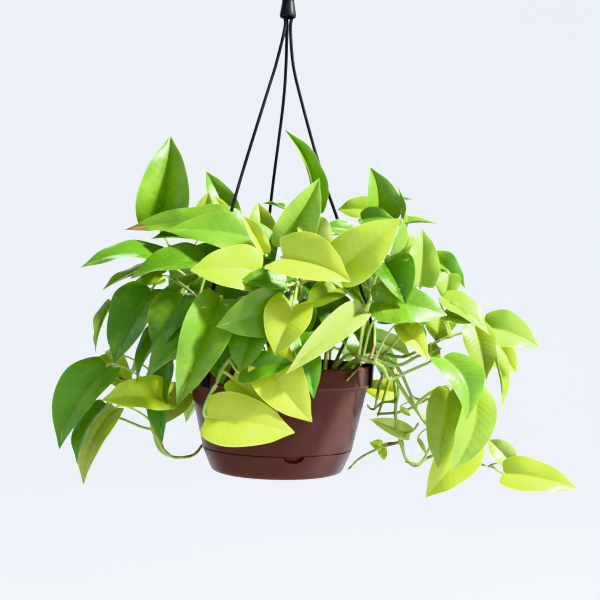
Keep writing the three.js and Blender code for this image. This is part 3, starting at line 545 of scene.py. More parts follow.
class Wiring:
    """Short calls that add and link nodes in one tree."""

    def __init__(self, tree):
        self.tree = tree

    def add(self, kind, inputs=None, **settings):
        """A new node with its settings made and its inputs linked or set."""
        node = self.tree.nodes.new(kind)
        for name, value in settings.items():
            setattr(node, name, value)
        self.fill(node, inputs or {})
        return node

    def fill(self, node, inputs):
        for name, value in inputs.items():
            self.feed(node.inputs[name], value)

    def feed(self, socket, value):
        if isinstance(value, bpy.types.NodeSocket):
            self.tree.links.new(value, socket)
        else:
            socket.default_value = value

    def maths(self, operation, *values):
        return self.add("ShaderNodeMath", dict(enumerate(values)), operation=operation).outputs[0]

    def ramp(self, value, low, high, to_low=0.0, to_high=1.0):
        return self.add("ShaderNodeMapRange", {
            "Value": value, "From Min": low, "From Max": high, "To Min": to_low, "To Max": to_high,
        }, interpolation_type="SMOOTHSTEP").outputs["Result"]

    def mix(self, share, first, second, blend="MIX"):
        inputs = {0: share, 6: first, 7: second}
        return self.add("ShaderNodeMix", inputs, data_type="RGBA", blend_type=blend).outputs[2]

    def noise(self, place_at, scale, detail=3.0, rough=0.5):
        return self.add("ShaderNodeTexNoise", {
            "Vector": place_at, "Scale": scale, "Detail": detail, "Roughness": rough,
        }).outputs["Fac"]

    def random(self, seed, least, most):
        """A random vector between two, another for each instance."""
        inputs = {0: least, 1: most, "Seed": seed}
        return self.add("FunctionNodeRandomValue", inputs, data_type="FLOAT_VECTOR").outputs[0]

    def spot(self):
        return self.add("ShaderNodeTexCoord").outputs["Object"]

    def attribute(self, name):
        return self.add("ShaderNodeAttribute", attribute_name=name)

    def group(self, tree, **inputs):
        named = {name.replace("_", " "): value for name, value in inputs.items()}
        return self.add("ShaderNodeGroup", named, node_tree=tree).outputs


def group_tree(name, inputs, outputs, kind="ShaderNodeTree"):
    """An empty tree with its sockets: its wiring, what goes in and what comes out."""
    tree = bpy.data.node_groups.new(name, kind)
    for label, socket_kind, default in inputs:
        socket = tree.interface.new_socket(label, in_out="INPUT", socket_type=socket_kind)
        if default is not None:
            socket.default_value = default
    for label, socket_kind in outputs:
        tree.interface.new_socket(label, in_out="OUTPUT", socket_type=socket_kind)
    w = Wiring(tree)
    return w, w.add("NodeGroupInput").outputs, w.add("NodeGroupOutput").inputs


def shape_tree(name, inputs):
    """An empty tree that takes geometry, some values and a material, and gives geometry."""
    geometry = ("Geometry", "NodeSocketGeometry")
    sockets = [(*geometry, None), *inputs, ("Skin", "NodeSocketMaterial", None)]
    return group_tree(name, sockets, [geometry], "GeometryNodeTree")


def finish_tree(w, source, given, made):
    """Ends a tree in real geometry that wears one material, shaded smooth."""
    shade = w.add("GeometryNodeSetShadeSmooth", {"Geometry": source})
    real = w.add("GeometryNodeRealizeInstances", {"Geometry": shade.outputs["Geometry"]})
    wear = w.add("GeometryNodeSetMaterial", {"Geometry": real.outputs["Geometry"], "Material": given["Skin"]})
    w.feed(made["Geometry"], wear.outputs["Geometry"])
    return w.tree


def socket_of(tree, name):
    """The identifier of a tree's input, by its name."""
    return next(s.identifier for s in tree.interface.items_tree if s.name == name and s.in_out == "INPUT")


def run_tree(made, tree, values):
    """Puts a tree on an object with its inputs set, and turns the result into a plain mesh."""
    modifier = made.modifiers.new(tree.name, "NODES")
    modifier.node_group = tree
    for name, value in values.items():
        modifier[socket_of(tree, name)] = value
    made.update_tag()
    bpy.context.view_layer.update()
    plain = plain_mesh(made)
    made.modifiers.remove(modifier)
    result = linked(made.name + "_mesh", plain)
    bpy.data.objects.remove(made)
    return result


def tube_tree():
    """A tube along each path, as thick as the path's own radius, with a slight unevenness."""
    w, given, made = shape_tree("Tube along a path", [
        ("Sides", "NodeSocketInt", 12),
        ("Unevenness", "NodeSocketFloat", 0.0),
        ("Grain", "NodeSocketFloat", 120.0),
        ("Seed", "NodeSocketFloat", 1.0),
    ])
    section = w.add("GeometryNodeCurvePrimitiveCircle", {"Resolution": given["Sides"], "Radius": 1.0})
    sweep = w.add("GeometryNodeCurveToMesh", {
        "Curve": given["Geometry"], "Profile Curve": section.outputs["Curve"],
        "Scale": w.add("GeometryNodeInputRadius").outputs["Radius"], "Fill Caps": True,
    })
    grain = w.add("ShaderNodeTexNoise", {"Scale": given["Grain"], "W": given["Seed"]}, noise_dimensions="4D")
    push = w.maths("MULTIPLY", w.maths("SUBTRACT", grain.outputs["Fac"], 0.5), given["Unevenness"])
    normal = w.add("GeometryNodeInputNormal").outputs["Normal"]
    offset = w.add("ShaderNodeVectorMath", {0: normal, "Scale": push}, operation="SCALE")
    moved = w.add("GeometryNodeSetPosition", {
        "Geometry": sweep.outputs["Mesh"], "Offset": offset.outputs["Vector"],
    })
    return finish_tree(w, moved.outputs["Geometry"], given, made)


def nub_tree():
    """Short pointed root nubs, sunk in a stem and spread along it."""
    w, given, made = shape_tree("Root nubs along a stem", [
        ("Spacing", "NodeSocketFloat", 0.02),
        ("Share", "NodeSocketFloat", 0.6),
        ("Length", "NodeSocketFloat", 0.006),
        ("Thickness", "NodeSocketFloat", 0.0009),
        ("Seed", "NodeSocketInt", 1),
    ])
    spaced = w.add("GeometryNodeResampleCurve", mode="LENGTH")
    w.fill(spaced, {"Curve": given["Geometry"], "Length": given["Spacing"]})
    nub = w.add("GeometryNodeMeshCone", {
        "Vertices": 7, "Radius Bottom": given["Thickness"], "Depth": given["Length"],
    })
    chosen = w.add("FunctionNodeRandomValue", {"Probability": given["Share"], "Seed": given["Seed"]},
                   data_type="BOOLEAN")
    size = w.add("FunctionNodeRandomValue", {2: 0.6, 3: 1.3, "Seed": given["Seed"]}, data_type="FLOAT")
    spread = w.add("GeometryNodeInstanceOnPoints", {
        "Points": spaced.outputs["Curve"], "Selection": chosen.outputs[3], "Instance": nub.outputs["Mesh"],
        "Rotation": w.random(given["Seed"], (1.2, -3.1, -3.1), (1.9, 3.1, 3.1)), "Scale": size.outputs[1],
    })
    return finish_tree(w, spread.outputs["Instances"], given, made)


def crumb_tree():
    """Small lumps over the faces that look up, with the surface itself kept."""
    w, given, made = shape_tree("Crumbs over a surface", [
        ("Density", "NodeSocketFloat", 20000.0),
        ("Least Gap", "NodeSocketFloat", 0.002),
        ("Size", "NodeSocketFloat", 0.0015),
        ("Seed", "NodeSocketInt", 1),
    ])
    normal = w.add("GeometryNodeInputNormal").outputs["Normal"]
    height = w.add("ShaderNodeSeparateXYZ", {0: normal}).outputs["Z"]
    upward = w.add("FunctionNodeCompare", data_type="FLOAT", operation="GREATER_THAN")
    w.fill(upward, {0: height, 1: 0.6})
    points = w.add("GeometryNodeDistributePointsOnFaces", distribute_method="POISSON")
    w.fill(points, {
        "Mesh": given["Geometry"], "Selection": upward.outputs[0], "Distance Min": given["Least Gap"],
        "Density Max": given["Density"], "Seed": given["Seed"],
    })
    lump = w.add("GeometryNodeMeshIcoSphere", {"Subdivisions": 1, "Radius": given["Size"]})
    spread = w.add("GeometryNodeInstanceOnPoints", {
        "Points": points.outputs["Points"], "Instance": lump.outputs["Mesh"],
        "Rotation": w.random(given["Seed"], (-3.1, -3.1, -3.1), (3.1, 3.1, 3.1)),
        "Scale": w.random(given["Seed"], (0.5, 0.4, 0.3), (1.8, 1.3, 1.0)),
    })
    both = w.add("GeometryNodeJoinGeometry")
    w.feed(both.inputs[0], given["Geometry"])
    w.feed(both.inputs[0], spread.outputs["Instances"])
    return finish_tree(w, both.outputs[0], given, made)


def path_object(name, paths):
    """A curve object from paths of (point in mm, radius in mm)."""
    curve = bpy.data.curves.new(name, "CURVE")
    curve.dimensions = "3D"
    for path in paths:
        spline = curve.splines.new("POLY")
        spline.points.add(len(path) - 1)
        for knot, (point, radius) in zip(spline.points, path):
            knot.co = (*place(point), 1)
            knot.radius = radius / 1000
    return linked(name, curve)


def tube(name, paths, skin, sides, unevenness=0.0, grain=120.0, seed=1.0):
    return run_tree(path_object(name, paths), TUBE, {
        "Sides": sides, "Unevenness": unevenness, "Grain": grain, "Seed": seed, "Skin": skin,
    })


def round_end(points, radius, steps=4):
    """A path of even radius whose last end is rounded over."""
    path = [(p, radius) for p in points]
    heading = (points[-1] - points[-2]).normalized()
    for step in range(1, steps + 1):
        angle = step / steps * math.pi / 2
        path.append((points[-1] + heading * radius * math.sin(angle), max(radius * math.cos(angle), 0.02)))
    return path


# Looks.


def colour(red, green, blue):
    return (red, green, blue, 1.0)


def vein_group():
    """From a leaf's own coordinates: its rib, its side veins, a painted highlight along its edge and how high
    they stand.
    """
    w, given, made = group_tree("Leaf veins", [
        ("Along and across", "NodeSocketVector", None),
        ("Vein Count", "NodeSocketFloat", 15.0),
        ("Unevenness", "NodeSocketFloat", 0.5),
    ], [("Rib", "NodeSocketFloat"), ("Veins", "NodeSocketFloat"), ("Margin", "NodeSocketFloat"),
        ("Height", "NodeSocketFloat")])
    parts = w.add("ShaderNodeSeparateXYZ", {0: given["Along and across"]})
    across = w.maths("ABSOLUTE", w.maths("MULTIPLY_ADD", parts.outputs["X"], 2.0, -1.0))
    along = parts.outputs["Y"]
    wander = w.noise(given["Along and across"], 3.0, 1.0)
    shift = w.maths("MULTIPLY", wander, given["Unevenness"])
    phase = w.maths("MULTIPLY_ADD", along, given["Vein Count"], shift)
    wave = w.maths("PINGPONG", phase, 0.5)
    vein = w.ramp(wave, 0.0, 0.13, 1.0, 0.0)
    fade = w.ramp(across, 0.72, 0.98, 1.0, 0.0)
    rib_width = w.maths("MULTIPLY_ADD", w.maths("SUBTRACT", 1.0, along), 0.022, 0.014)
    rib = w.ramp(across, w.maths("MULTIPLY", rib_width, 0.4), rib_width, 1.0, 0.0)
    quilt = w.maths("MULTIPLY", w.ramp(wave, 0.0, 0.5), fade)
    height = w.maths("SUBTRACT", w.maths("MULTIPLY", quilt, 0.6), w.maths("MULTIPLY", rib, 0.6))
    w.feed(made["Rib"], rib)
    w.feed(made["Veins"], w.maths("MULTIPLY", vein, fade))
    w.feed(made["Margin"], w.ramp(across, 0.95, 0.995))
    w.feed(made["Height"], height)
    return w.tree


def mottling_group():
    """Soft light and dark areas, and streaks of pale flecks that follow the veins."""
    w, given, made = group_tree("Mottling", [
        ("Place", "NodeSocketVector", None),
        ("Along and across", "NodeSocketVector", None),
        ("Flecks", "NodeSocketFloat", 0.2),
    ], [("Light", "NodeSocketFloat"), ("Dark", "NodeSocketFloat"), ("Fleck", "NodeSocketFloat")])
    soft = w.noise(given["Place"], 22.0, 3.0, 0.55)
    small = w.noise(given["Place"], 90.0, 3.0, 0.6)
    both = w.maths("MULTIPLY_ADD", small, 0.35, w.maths("MULTIPLY", soft, 0.75))
    stretched = w.add("ShaderNodeMapping", {"Vector": given["Along and across"], "Scale": (2.2, 13.0, 1.0)})
    shift = w.noise(given["Place"], 6.0, 1.0)
    offset = w.add("ShaderNodeVectorMath", {0: stretched.outputs["Vector"], 1: shift}, operation="ADD")
    streaks = w.noise(offset.outputs["Vector"], 1.0, 3.0, 0.65)
    least = w.maths("MULTIPLY_ADD", given["Flecks"], -0.22, 0.78)
    w.feed(made["Light"], w.ramp(both, 0.52, 0.8))
    w.feed(made["Dark"], w.ramp(both, 0.5, 0.28))
    w.feed(made["Fleck"], w.ramp(streaks, least, w.maths("ADD", least, 0.05)))
    return w.tree


def scuff_group():
    """Handling marks on plastic: faint cloudiness, fine scratches and settled dust."""
    w, given, made = group_tree("Scuffs", [
        ("Place", "NodeSocketVector", None),
        ("Normal", "NodeSocketVector", None),
    ], [("Cloud", "NodeSocketFloat"), ("Scratch", "NodeSocketFloat"), ("Dust", "NodeSocketFloat")])
    cloud = w.noise(given["Place"], 18.0, 4.0, 0.6)
    stretched = w.add("ShaderNodeMapping", {
        "Vector": given["Place"], "Scale": (160.0, 160.0, 900.0), "Rotation": (0.2, 0.1, 0.0),
    })
    lines = w.noise(stretched.outputs["Vector"], 1.0, 2.0, 0.7)
    parts = w.add("ShaderNodeSeparateXYZ", {0: given["Normal"]})
    upward = w.ramp(parts.outputs["Z"], 0.35, 0.95)
    specks = w.ramp(w.noise(given["Place"], 240.0, 3.0, 0.7), 0.45, 0.65)
    w.feed(made["Cloud"], cloud)
    w.feed(made["Scratch"], w.ramp(lines, 0.62, 0.7))
    w.feed(made["Dust"], w.maths("MULTIPLY", upward, specks))
    return w.tree


VEINS = vein_group()
MOTTLING = mottling_group()
SCUFFS = scuff_group()


def material(name):
    """A new material: its wiring and its shader."""
    made = bpy.data.materials.new(name)
    made.use_nodes = True
    return made, Wiring(made.node_tree), made.node_tree.nodes["Principled BSDF"]


def bump(w, height, strength, distance):
    inputs = {"Strength": strength, "Distance": distance, "Height": height}
    return w.add("ShaderNodeBump", inputs).outputs["Normal"]


def leaf_look(name, vein_count, sheen_roughness, glow):
    """A waxy leaf whose tone is stored on it, with veins, mottling, flecks, a painted highlight along its
    edge and a paler underside.
    """
    made, w, shader = material(name)
    uv = w.add("ShaderNodeUVMap", uv_map="leaf").outputs["UV"]
    spot = w.spot()
    tone = w.attribute("leaf_tone")
    under = w.attribute("underside").outputs["Fac"]
    veins = w.group(VEINS, Along_and_across=uv, Vein_Count=vein_count, Unevenness=0.35)
    mottle = w.group(MOTTLING, Place=spot, Along_and_across=uv, Flecks=w.attribute("flecks").outputs["Fac"])
    base = w.mix(w.maths("MULTIPLY", mottle["Dark"], 0.5), tone.outputs["Color"], colour(0.66, 0.74, 0.6),
                 "MULTIPLY")
    base = w.mix(w.maths("MULTIPLY", mottle["Light"], 0.16), base, colour(0.50, 0.62, 0.04))
    base = w.mix(w.maths("MULTIPLY", veins["Veins"], 0.3), base, colour(1.28, 1.22, 1.5), "MULTIPLY")
    base = w.mix(w.maths("MULTIPLY", mottle["Fleck"], 0.7), base, colour(0.50, 0.60, 0.10))
    base = w.mix(veins["Rib"], base, colour(1.35, 1.22, 1.9), "MULTIPLY")
    # Paler along the edge: a painted highlight.
    base = w.mix(veins["Margin"], base, colour(1.5, 1.3, 2.4), "MULTIPLY")
    base = w.mix(w.maths("MULTIPLY", under, 0.35), base, colour(0.30, 0.40, 0.10))
    edge_noise = w.noise(spot, 60.0, 3.0)
    parts = w.add("ShaderNodeSeparateXYZ", {0: uv})
    reach = w.maths("MULTIPLY_ADD", edge_noise, 0.25, parts.outputs["Y"])
    dryness = w.attribute("dryness").outputs["Fac"]
    least = w.maths("MULTIPLY_ADD", dryness, -0.45, 1.28)
    dry = w.ramp(reach, least, w.maths("ADD", least, 0.05))
    base = w.mix(dry, base, colour(0.16, 0.10, 0.03))
    cloud = w.noise(spot, 45.0, 3.0)
    rough = w.ramp(cloud, 0.3, 0.75, sheen_roughness - 0.05, sheen_roughness + 0.12)
    rough = w.maths("MULTIPLY_ADD", under, 0.2, rough)
    height = w.maths("MULTIPLY_ADD", w.noise(spot, 420.0, 2.0), 0.16, veins["Height"])
    w.fill(shader, {
        "Base Color": base,
        "Roughness": w.maths("MAXIMUM", rough, w.maths("MULTIPLY", dry, 0.8)),
        "Normal": bump(w, height, 0.22, 0.0005),
        "Specular IOR Level": 0.34, "Coat Weight": 0.08, "Coat Roughness": 0.22,
        "Subsurface Weight": glow, "Subsurface Radius": (0.6, 1.0, 0.15), "Subsurface Scale": 0.002,
    })
    return made


def stalk_look(name, fresh_colour, old_colour, share_old):
    """A smooth green stalk with streaks along it and browner, corky places."""
    made, w, shader = material(name)
    spot = w.spot()
    old = w.ramp(w.noise(spot, 38.0, 4.0, 0.6), 0.62 - share_old, 0.74 - share_old)
    streak = w.ramp(w.noise(spot, 260.0, 3.0, 0.6), 0.35, 0.7)
    base = w.mix(w.maths("MULTIPLY", streak, 0.5), fresh_colour, colour(0.26, 0.33, 0.08))
    w.fill(shader, {
        "Base Color": w.mix(old, base, old_colour),
        "Roughness": w.ramp(old, 0.0, 1.0, 0.38, 0.7),
        "Normal": bump(w, w.noise(spot, 520.0, 3.0), 0.35, 0.0004),
        "Subsurface Weight": 0.12, "Subsurface Scale": 0.002,
    })
    return made


def nub_look():
    made, w, shader = material("Root nub brown")
    share = w.noise(w.spot(), 300.0, 2.0)
    base = w.mix(share, colour(0.045, 0.022, 0.012), colour(0.16, 0.085, 0.04))
    w.fill(shader, {"Base Color": base, "Roughness": 0.75})
    return made


def plastic_look(name, base_colour, worn_colour, roughness, dust_share):
    """Moulded plastic, slightly cloudy, with fine scratches and dust on what looks up."""
    made, w, shader = material(name)
    spot = w.spot()
    facing = w.add("ShaderNodeNewGeometry").outputs["Normal"]
    scuffs = w.group(SCUFFS, Place=spot, Normal=facing)
    base = w.mix(w.ramp(scuffs["Cloud"], 0.35, 0.75), base_colour, worn_colour)
    base = w.mix(w.maths("MULTIPLY", scuffs["Scratch"], 0.02), base, colour(0.4, 0.36, 0.33))
    base = w.mix(w.maths("MULTIPLY", scuffs["Dust"], dust_share), base, colour(0.34, 0.29, 0.24))
    rough = w.ramp(scuffs["Cloud"], 0.3, 0.8, roughness - 0.04, roughness + 0.1)
    w.fill(shader, {
        "Base Color": base,
        "Roughness": w.maths("MULTIPLY_ADD", scuffs["Dust"], 0.3, rough),
        "Normal": bump(w, w.noise(spot, 700.0, 3.0), 0.10, 0.0003),
        "Specular IOR Level": 0.10,
    })
    return made


def soil_look():
    """Dark moist potting soil with bark and a few pale grains."""
    made, w, shader = material("Potting soil")
    spot = w.spot()
    cells = w.add("ShaderNodeTexVoronoi", {"Vector": spot, "Scale": 330.0})
    pick = w.add("ShaderNodeSeparateColor", {0: cells.outputs["Color"]})
    base = w.mix(w.noise(spot, 90.0, 5.0, 0.7), colour(0.018, 0.011, 0.007), colour(0.095, 0.055, 0.032))
    base = w.mix(w.maths("GREATER_THAN", pick.outputs["Green"], 0.8), base, colour(0.12, 0.065, 0.03))
    base = w.mix(w.maths("GREATER_THAN", pick.outputs["Red"], 0.955), base, colour(0.62, 0.60, 0.55))
    grain = w.noise(spot, 500.0, 5.0, 0.7)
    w.fill(shader, {"Base Color": base, "Roughness": 0.9, "Normal": bump(w, grain, 0.9, 0.0015)})
    return made


def backdrop_look():
    made, w, shader = material("Pale studio paper")
    share = w.noise(w.spot(), 2.0, 2.0)
    w.fill(shader, {
        "Base Color": w.mix(share, colour(0.50, 0.53, 0.58), colour(0.53, 0.56, 0.60)), "Roughness": 0.95,
        "Emission Color": colour(0.985, 0.97, 0.995), "Emission Strength": 0.42,
    })
    return made


YOUNG_LEAF = leaf_look("Young leaf", 13.0, 0.34, 0.30)
GROWN_LEAF = leaf_look("Grown leaf", 15.0, 0.30, 0.22)
PETIOLE = stalk_look("Leaf stalk", colour(0.34, 0.44, 0.11), colour(0.26, 0.20, 0.07), -0.06)
STEM = stalk_look("Vine stem", colour(0.20, 0.30, 0.055), colour(0.13, 0.085, 0.04), 0.10)
NUB = nub_look()
POT_PLASTIC = plastic_look(
    "Red-brown pot plastic", colour(0.058, 0.0245, 0.0200), colour(0.069, 0.0305, 0.025), 0.36, 0.08)
HANGER_PLASTIC = plastic_look(
    "Charcoal hanger plastic", colour(0.012, 0.012, 0.014), colour(0.024, 0.024, 0.028), 0.32, 0.25)
SOIL = soil_look()
BACKDROP = backdrop_look()

TUBE = tube_tree()
NUBS = nub_tree()
CRUMBS = crumb_tree()


# Pot, saucer and soil.


def body_radius(z):
    return SEAM_RADIUS + (z - SEAM_Z) / (RIM_Z - RIM_BAND - SEAM_Z) * (BODY_TOP_RADIUS - SEAM_RADIUS)


def saucer_inside(z):
    return SAUCER_CURVE_RADIUS + (z - SAUCER_CURVE_Z) / SAUCER_CURVE_RISE * SAUCER_CURVE_FLARE


def cut(made, cutter):
    """Takes a closed cutter out of a solid."""
    modifier = made.modifiers.new("cut", "BOOLEAN")
    modifier.operation = "DIFFERENCE"
    modifier.solver = "EXACT"
    modifier.object = cutter
    settled(made)
    bpy.data.objects.remove(cutter)
    return made


def prism(name, outline, frame_at, depth, skin=None):
    """A closed prism: outline points (a, b) put in place by frame_at(a, b, across)."""
    count = len(outline)
    points = [place(frame_at(a, b, side * depth / 2)) for side in (-1, 1) for a, b in outline]
    faces = [tuple(range(count)), tuple(reversed(range(count, 2 * count)))]
    faces += [(i, (i + 1) % count, (i + 1) % count + count, i + count) for i in range(count)]
    return welded(mesh_object(name, points, faces, skin))


def make_pot():
    band = RIM_Z - RIM_BAND
    floor_top = POT_FLOOR_Z + POT_FLOOR
    neck = saucer_inside(SEAM_Z) - FIT_GAP
    ring = FOOT_RING_RADIUS
    profile = [
        (0, POT_FLOOR_Z), (ring - FOOT_RING_WALL, POT_FLOOR_Z),
        (ring - FOOT_RING_WALL + 1, SAUCER_FLOOR + GAP), (ring - 1, SAUCER_FLOOR + GAP),
        (ring, POT_FLOOR_Z), (POT_FOOT_RADIUS, POT_FLOOR_Z),
        (saucer_inside(12) - FIT_GAP, 12), (neck, SEAM_Z + GAP), (SEAM_RADIUS, SEAM_Z + GAP),
        (BODY_TOP_RADIUS, band), (RIM_RADIUS, band + RIM_EDGE), (RIM_RADIUS, RIM_Z - RIM_EDGE),
        (RIM_RADIUS - RIM_EDGE, RIM_Z), (RIM_RADIUS - RIM_WALL, RIM_Z),
        (body_radius(band) - WALL, band - 3), (body_radius(SEAM_Z + 4) - WALL, SEAM_Z + 4),
        (neck - WALL, SEAM_Z), (POT_FOOT_RADIUS, floor_top), (0, floor_top),
    ]
    pot = turned("pot_shell", rounded(profile, 1.2), POT_PLASTIC)
    for index in range(DRAIN_COUNT):
        centre = around(DRAIN_TURN + 360 * index / DRAIN_COUNT, DRAIN_RING, 0)
        circle = [(DRAIN_RADIUS * math.cos(a), DRAIN_RADIUS * math.sin(a))
                  for a in (2 * math.pi * step / DRAIN_SIDES for step in range(DRAIN_SIDES))]
        cut(pot, prism("drain", circle, lambda a, b, c: centre + Vector((a, b, 10 + c)), 12))
    crease(pot.data, CREASE_ANGLE)
    return dress(pot, "pot_plastic", "pot")


def make_saucer():
    foot = SAUCER_FOOT_RADIUS
    profile = [
        (0, 0), (foot, 0), (foot + 2.6, 1.2), (foot + 4.6, 4.2), (SEAM_RADIUS, SEAM_Z),
        (SEAM_RADIUS - WALL, SEAM_Z), (SAUCER_CURVE_RADIUS, SAUCER_CURVE_Z), (foot, SAUCER_FLOOR),
        (0, SAUCER_FLOOR),
    ]
    saucer = turned("saucer_dish", rounded(profile, 0.8), POT_PLASTIC)
    half = NOTCH_WIDTH / 2
    outline = [(half, 1), (-half, 1)]
    for step in range(NOTCH_STEPS + 1):
        angle = math.pi * (1 + step / NOTCH_STEPS)
        outline.append((half * math.cos(angle), NOTCH_DEPTH * math.sin(angle)))
    outward_way = around(NOTCH_TURN, 1, 0)
    aside = around(NOTCH_TURN + 90, 1, 0)
    centre = around(NOTCH_TURN, SEAM_RADIUS, SEAM_Z)
    up = Vector((0, 0, 1))
    cut(saucer, prism("notch", outline, lambda a, b, c: centre + aside * a + up * b + outward_way * c,
                      NOTCH_REACH))
    crease(saucer.data, CREASE_ANGLE)
    return dress(saucer, "pot_plastic", "saucer")


def make_soil():
    """The soil's top is uneven, and crumbs and bits of bark lie on it."""
    top_radius = body_radius(RIM_Z - RIM_BAND) - WALL - SOIL_GAP
    profile = [
        (0, SOIL_FLOOR_Z), (POT_FOOT_RADIUS - SOIL_GAP, SOIL_FLOOR_Z),
        (saucer_inside(SEAM_Z) - FIT_GAP - WALL - SOIL_GAP, SEAM_Z),
        (body_radius(30) - WALL - SOIL_GAP, 31), (top_radius, 93), (top_radius, SOIL_Z - 3),
    ]
    for ring in range(SOIL_RINGS, -1, -1):
        share = ring / SOIL_RINGS
        profile.append((top_radius * ring / SOIL_RINGS, SOIL_Z - 1 + SOIL_DOME * 0.9 * (1 - share ** 2)))
    soil = turned("soil_bed_top", profile, SOIL)
    for vertex in soil.data.vertices:
        x, y = vertex.co.x * 1000, vertex.co.y * 1000
        z = vertex.co.z * 1000 + BEARING_Z
        if z > SOIL_Z - 2:
            lift = noise.noise(Vector((x, y, 0)) / 16) * 1.6 + noise.noise(Vector((x, y, 9)) / 5) * 0.8
            vertex.co.z += lift / 1000
    soil = run_tree(soil, CRUMBS, {
        "Density": 60000.0, "Least Gap": 0.0028, "Size": 0.0017, "Seed": 5, "Skin": SOIL,
    })
    soil.name = "soil_bed"
    return dress(soil, "soil", "soil")


# Hanger.


def make_hook():
    top = HUB_Z + HUB_HEIGHT
    profile = [
        (0, HUB_Z + 9), (6.6, HUB_Z + 9), (7.6, HUB_Z + 0.3), (HUB_FOOT_RADIUS - 0.8, HUB_Z),
        (HUB_FOOT_RADIUS, HUB_Z + 1.5), (HUB_FOOT_RADIUS - 0.4, HUB_Z + 5),
        (HUB_NECK_RADIUS, HUB_Z + HUB_HEIGHT / 2),
        (HUB_NECK_RADIUS - 0.6, top - 3), (HUB_NECK_RADIUS - 2.4, top), (0, top),
    ]
    hub = turned("hub", rounded(profile, 1.5, 6), HANGER_PLASTIC, 48, 40)
    points = [(0, 0, top - 6), (0, 0, top), (1, 0, HOOK_CENTRE_Z - HOOK_RADIUS - 12)]
    for turn in np.arange(HOOK_START_TURN, HOOK_END_TURN + 0.1, HOOK_STEP_TURN):
        angle = math.radians(turn)
        points.append((HOOK_RADIUS * math.cos(angle), 0, HOOK_CENTRE_Z + HOOK_RADIUS * math.sin(angle)))
    path = smooth_curve(points, 1.5)[:-2]
    rod = welded(tube("rod", [round_end(path, HOOK_ROD_RADIUS)], HANGER_PLASTIC, 20))
    return dress(joined("hook_and_hub", [hub, rod]), "hanger_plastic", "hanger_hook")


def make_clip(turn):
    """The clip that hooks a strand over the rim, with its edges rounded."""
    outer = RIM_RADIUS + GAP
    inner = RIM_RADIUS - RIM_WALL - GAP - CLIP_WALL
    top = RIM_Z + GAP + CLIP_WALL
    low = RIM_Z - RIM_BAND - GAP
    thin = CLIP_INNER_WALL
    section = [
        (outer + CLIP_WALL, top - 1), (outer + CLIP_WALL - 1, top), (inner + 1, top), (inner, top - 1),
        (inner, top - CLIP_INNER_DROP), (inner + thin, top - CLIP_INNER_DROP), (inner + thin, RIM_Z + GAP),
        (outer, RIM_Z + GAP), (outer, low), (outer - thin, low), (outer - 1, top - CLIP_DROP - 1),
        (outer + CLIP_WALL - 1, top - CLIP_DROP),
    ]
    out, aside = around(turn, 1, 0), around(turn + 90, 1, 0)
    clip = prism("clip", section, lambda r, z, c: out * r + aside * c + Vector((0, 0, z)), CLIP_WIDTH,
                 HANGER_PLASTIC)
    modifier = clip.modifiers.new("edges", "BEVEL")
    modifier.width = CLIP_ROUNDING / 1000
    modifier.segments = 3
    modifier.limit_method = "ANGLE"
    modifier.angle_limit = math.radians(CLIP_ANGLE)
    settled(clip)
    crease(clip.data, CLIP_ANGLE)
    return clip


def make_strand(strand):
    turn = strand["turn"]
    seat_radius = RIM_RADIUS + GAP + CLIP_WALL
    points = [around(turn, STRAND_RING, HUB_Z + 6), around(turn, STRAND_RING, HUB_Z - GAP),
              around(turn, STRAND_RING - 1, HUB_Z - GAP - STRAND_SEAT)]
    points += [Vector(p) for p in strand["through"]]
    points += [around(turn, seat_radius, RIM_Z + 2 * STRAND_SEAT), around(turn, seat_radius - 1, RIM_Z + 1)]
    path = smooth_curve(points, 4)
    last = len(path) - 1
    sized = []
    for index, point in enumerate(path):
        swell = STRAND_SWELL * math.exp(-((last - index) / STRAND_SWELL_STEPS) ** 2)
        sized.append((point, STRAND_RADIUS + swell))
    cord = welded(tube(strand["name"], [sized], HANGER_PLASTIC, 18, 0.00012, 260.0, turn))
    whole = joined("cord_of_" + strand["name"], [cord, make_clip(turn)])
    return dress(whole, "hanger_plastic", strand["name"])


# Leaves and vines.


def lateral_at(u):
    return np.maximum(np.sin(np.pi * u ** 0.7), 0) ** 0.75 * (1 - 0.35 * smooth(0.8, 1, u))


def margin_at(u, lobe):
    forward = np.clip((u - 0.06) / 0.94, 0, 1) ** 1.15
    return forward - lobe * np.sin(np.minimum(u / 0.16, 1) * np.pi / 2) * (1 - u) ** 4


def rib_at(u):
    return 0.02 * np.minimum(u / 0.15, 1) + 0.98 * (np.maximum(u - 0.15, 0) / 0.85) ** 1.6


def leaf_axes(leaf_at):
    """The leaf's own directions: along its rib, to its side and out of its upper face."""
    along = leaf_at["tip"] - leaf_at["base"]
    length = along.length
    along.normalize()
    face = leaf_at["face"] - along * leaf_at["face"].dot(along)
    face.normalize()
    return length, along, along.cross(face), face


def rib_point(leaf_at, x, drop):
    length, along, side, face = leaf_axes(leaf_at)
    arch = leaf_at["arch"] if leaf_at["arch"] is not None else LEAF_ARCH * length
    bow = 4 * x * (1 - x)
    point = leaf_at["base"] + along * (x * length) + side * (leaf_at["bend"] * bow)
    return point + face * (arch * bow - drop)


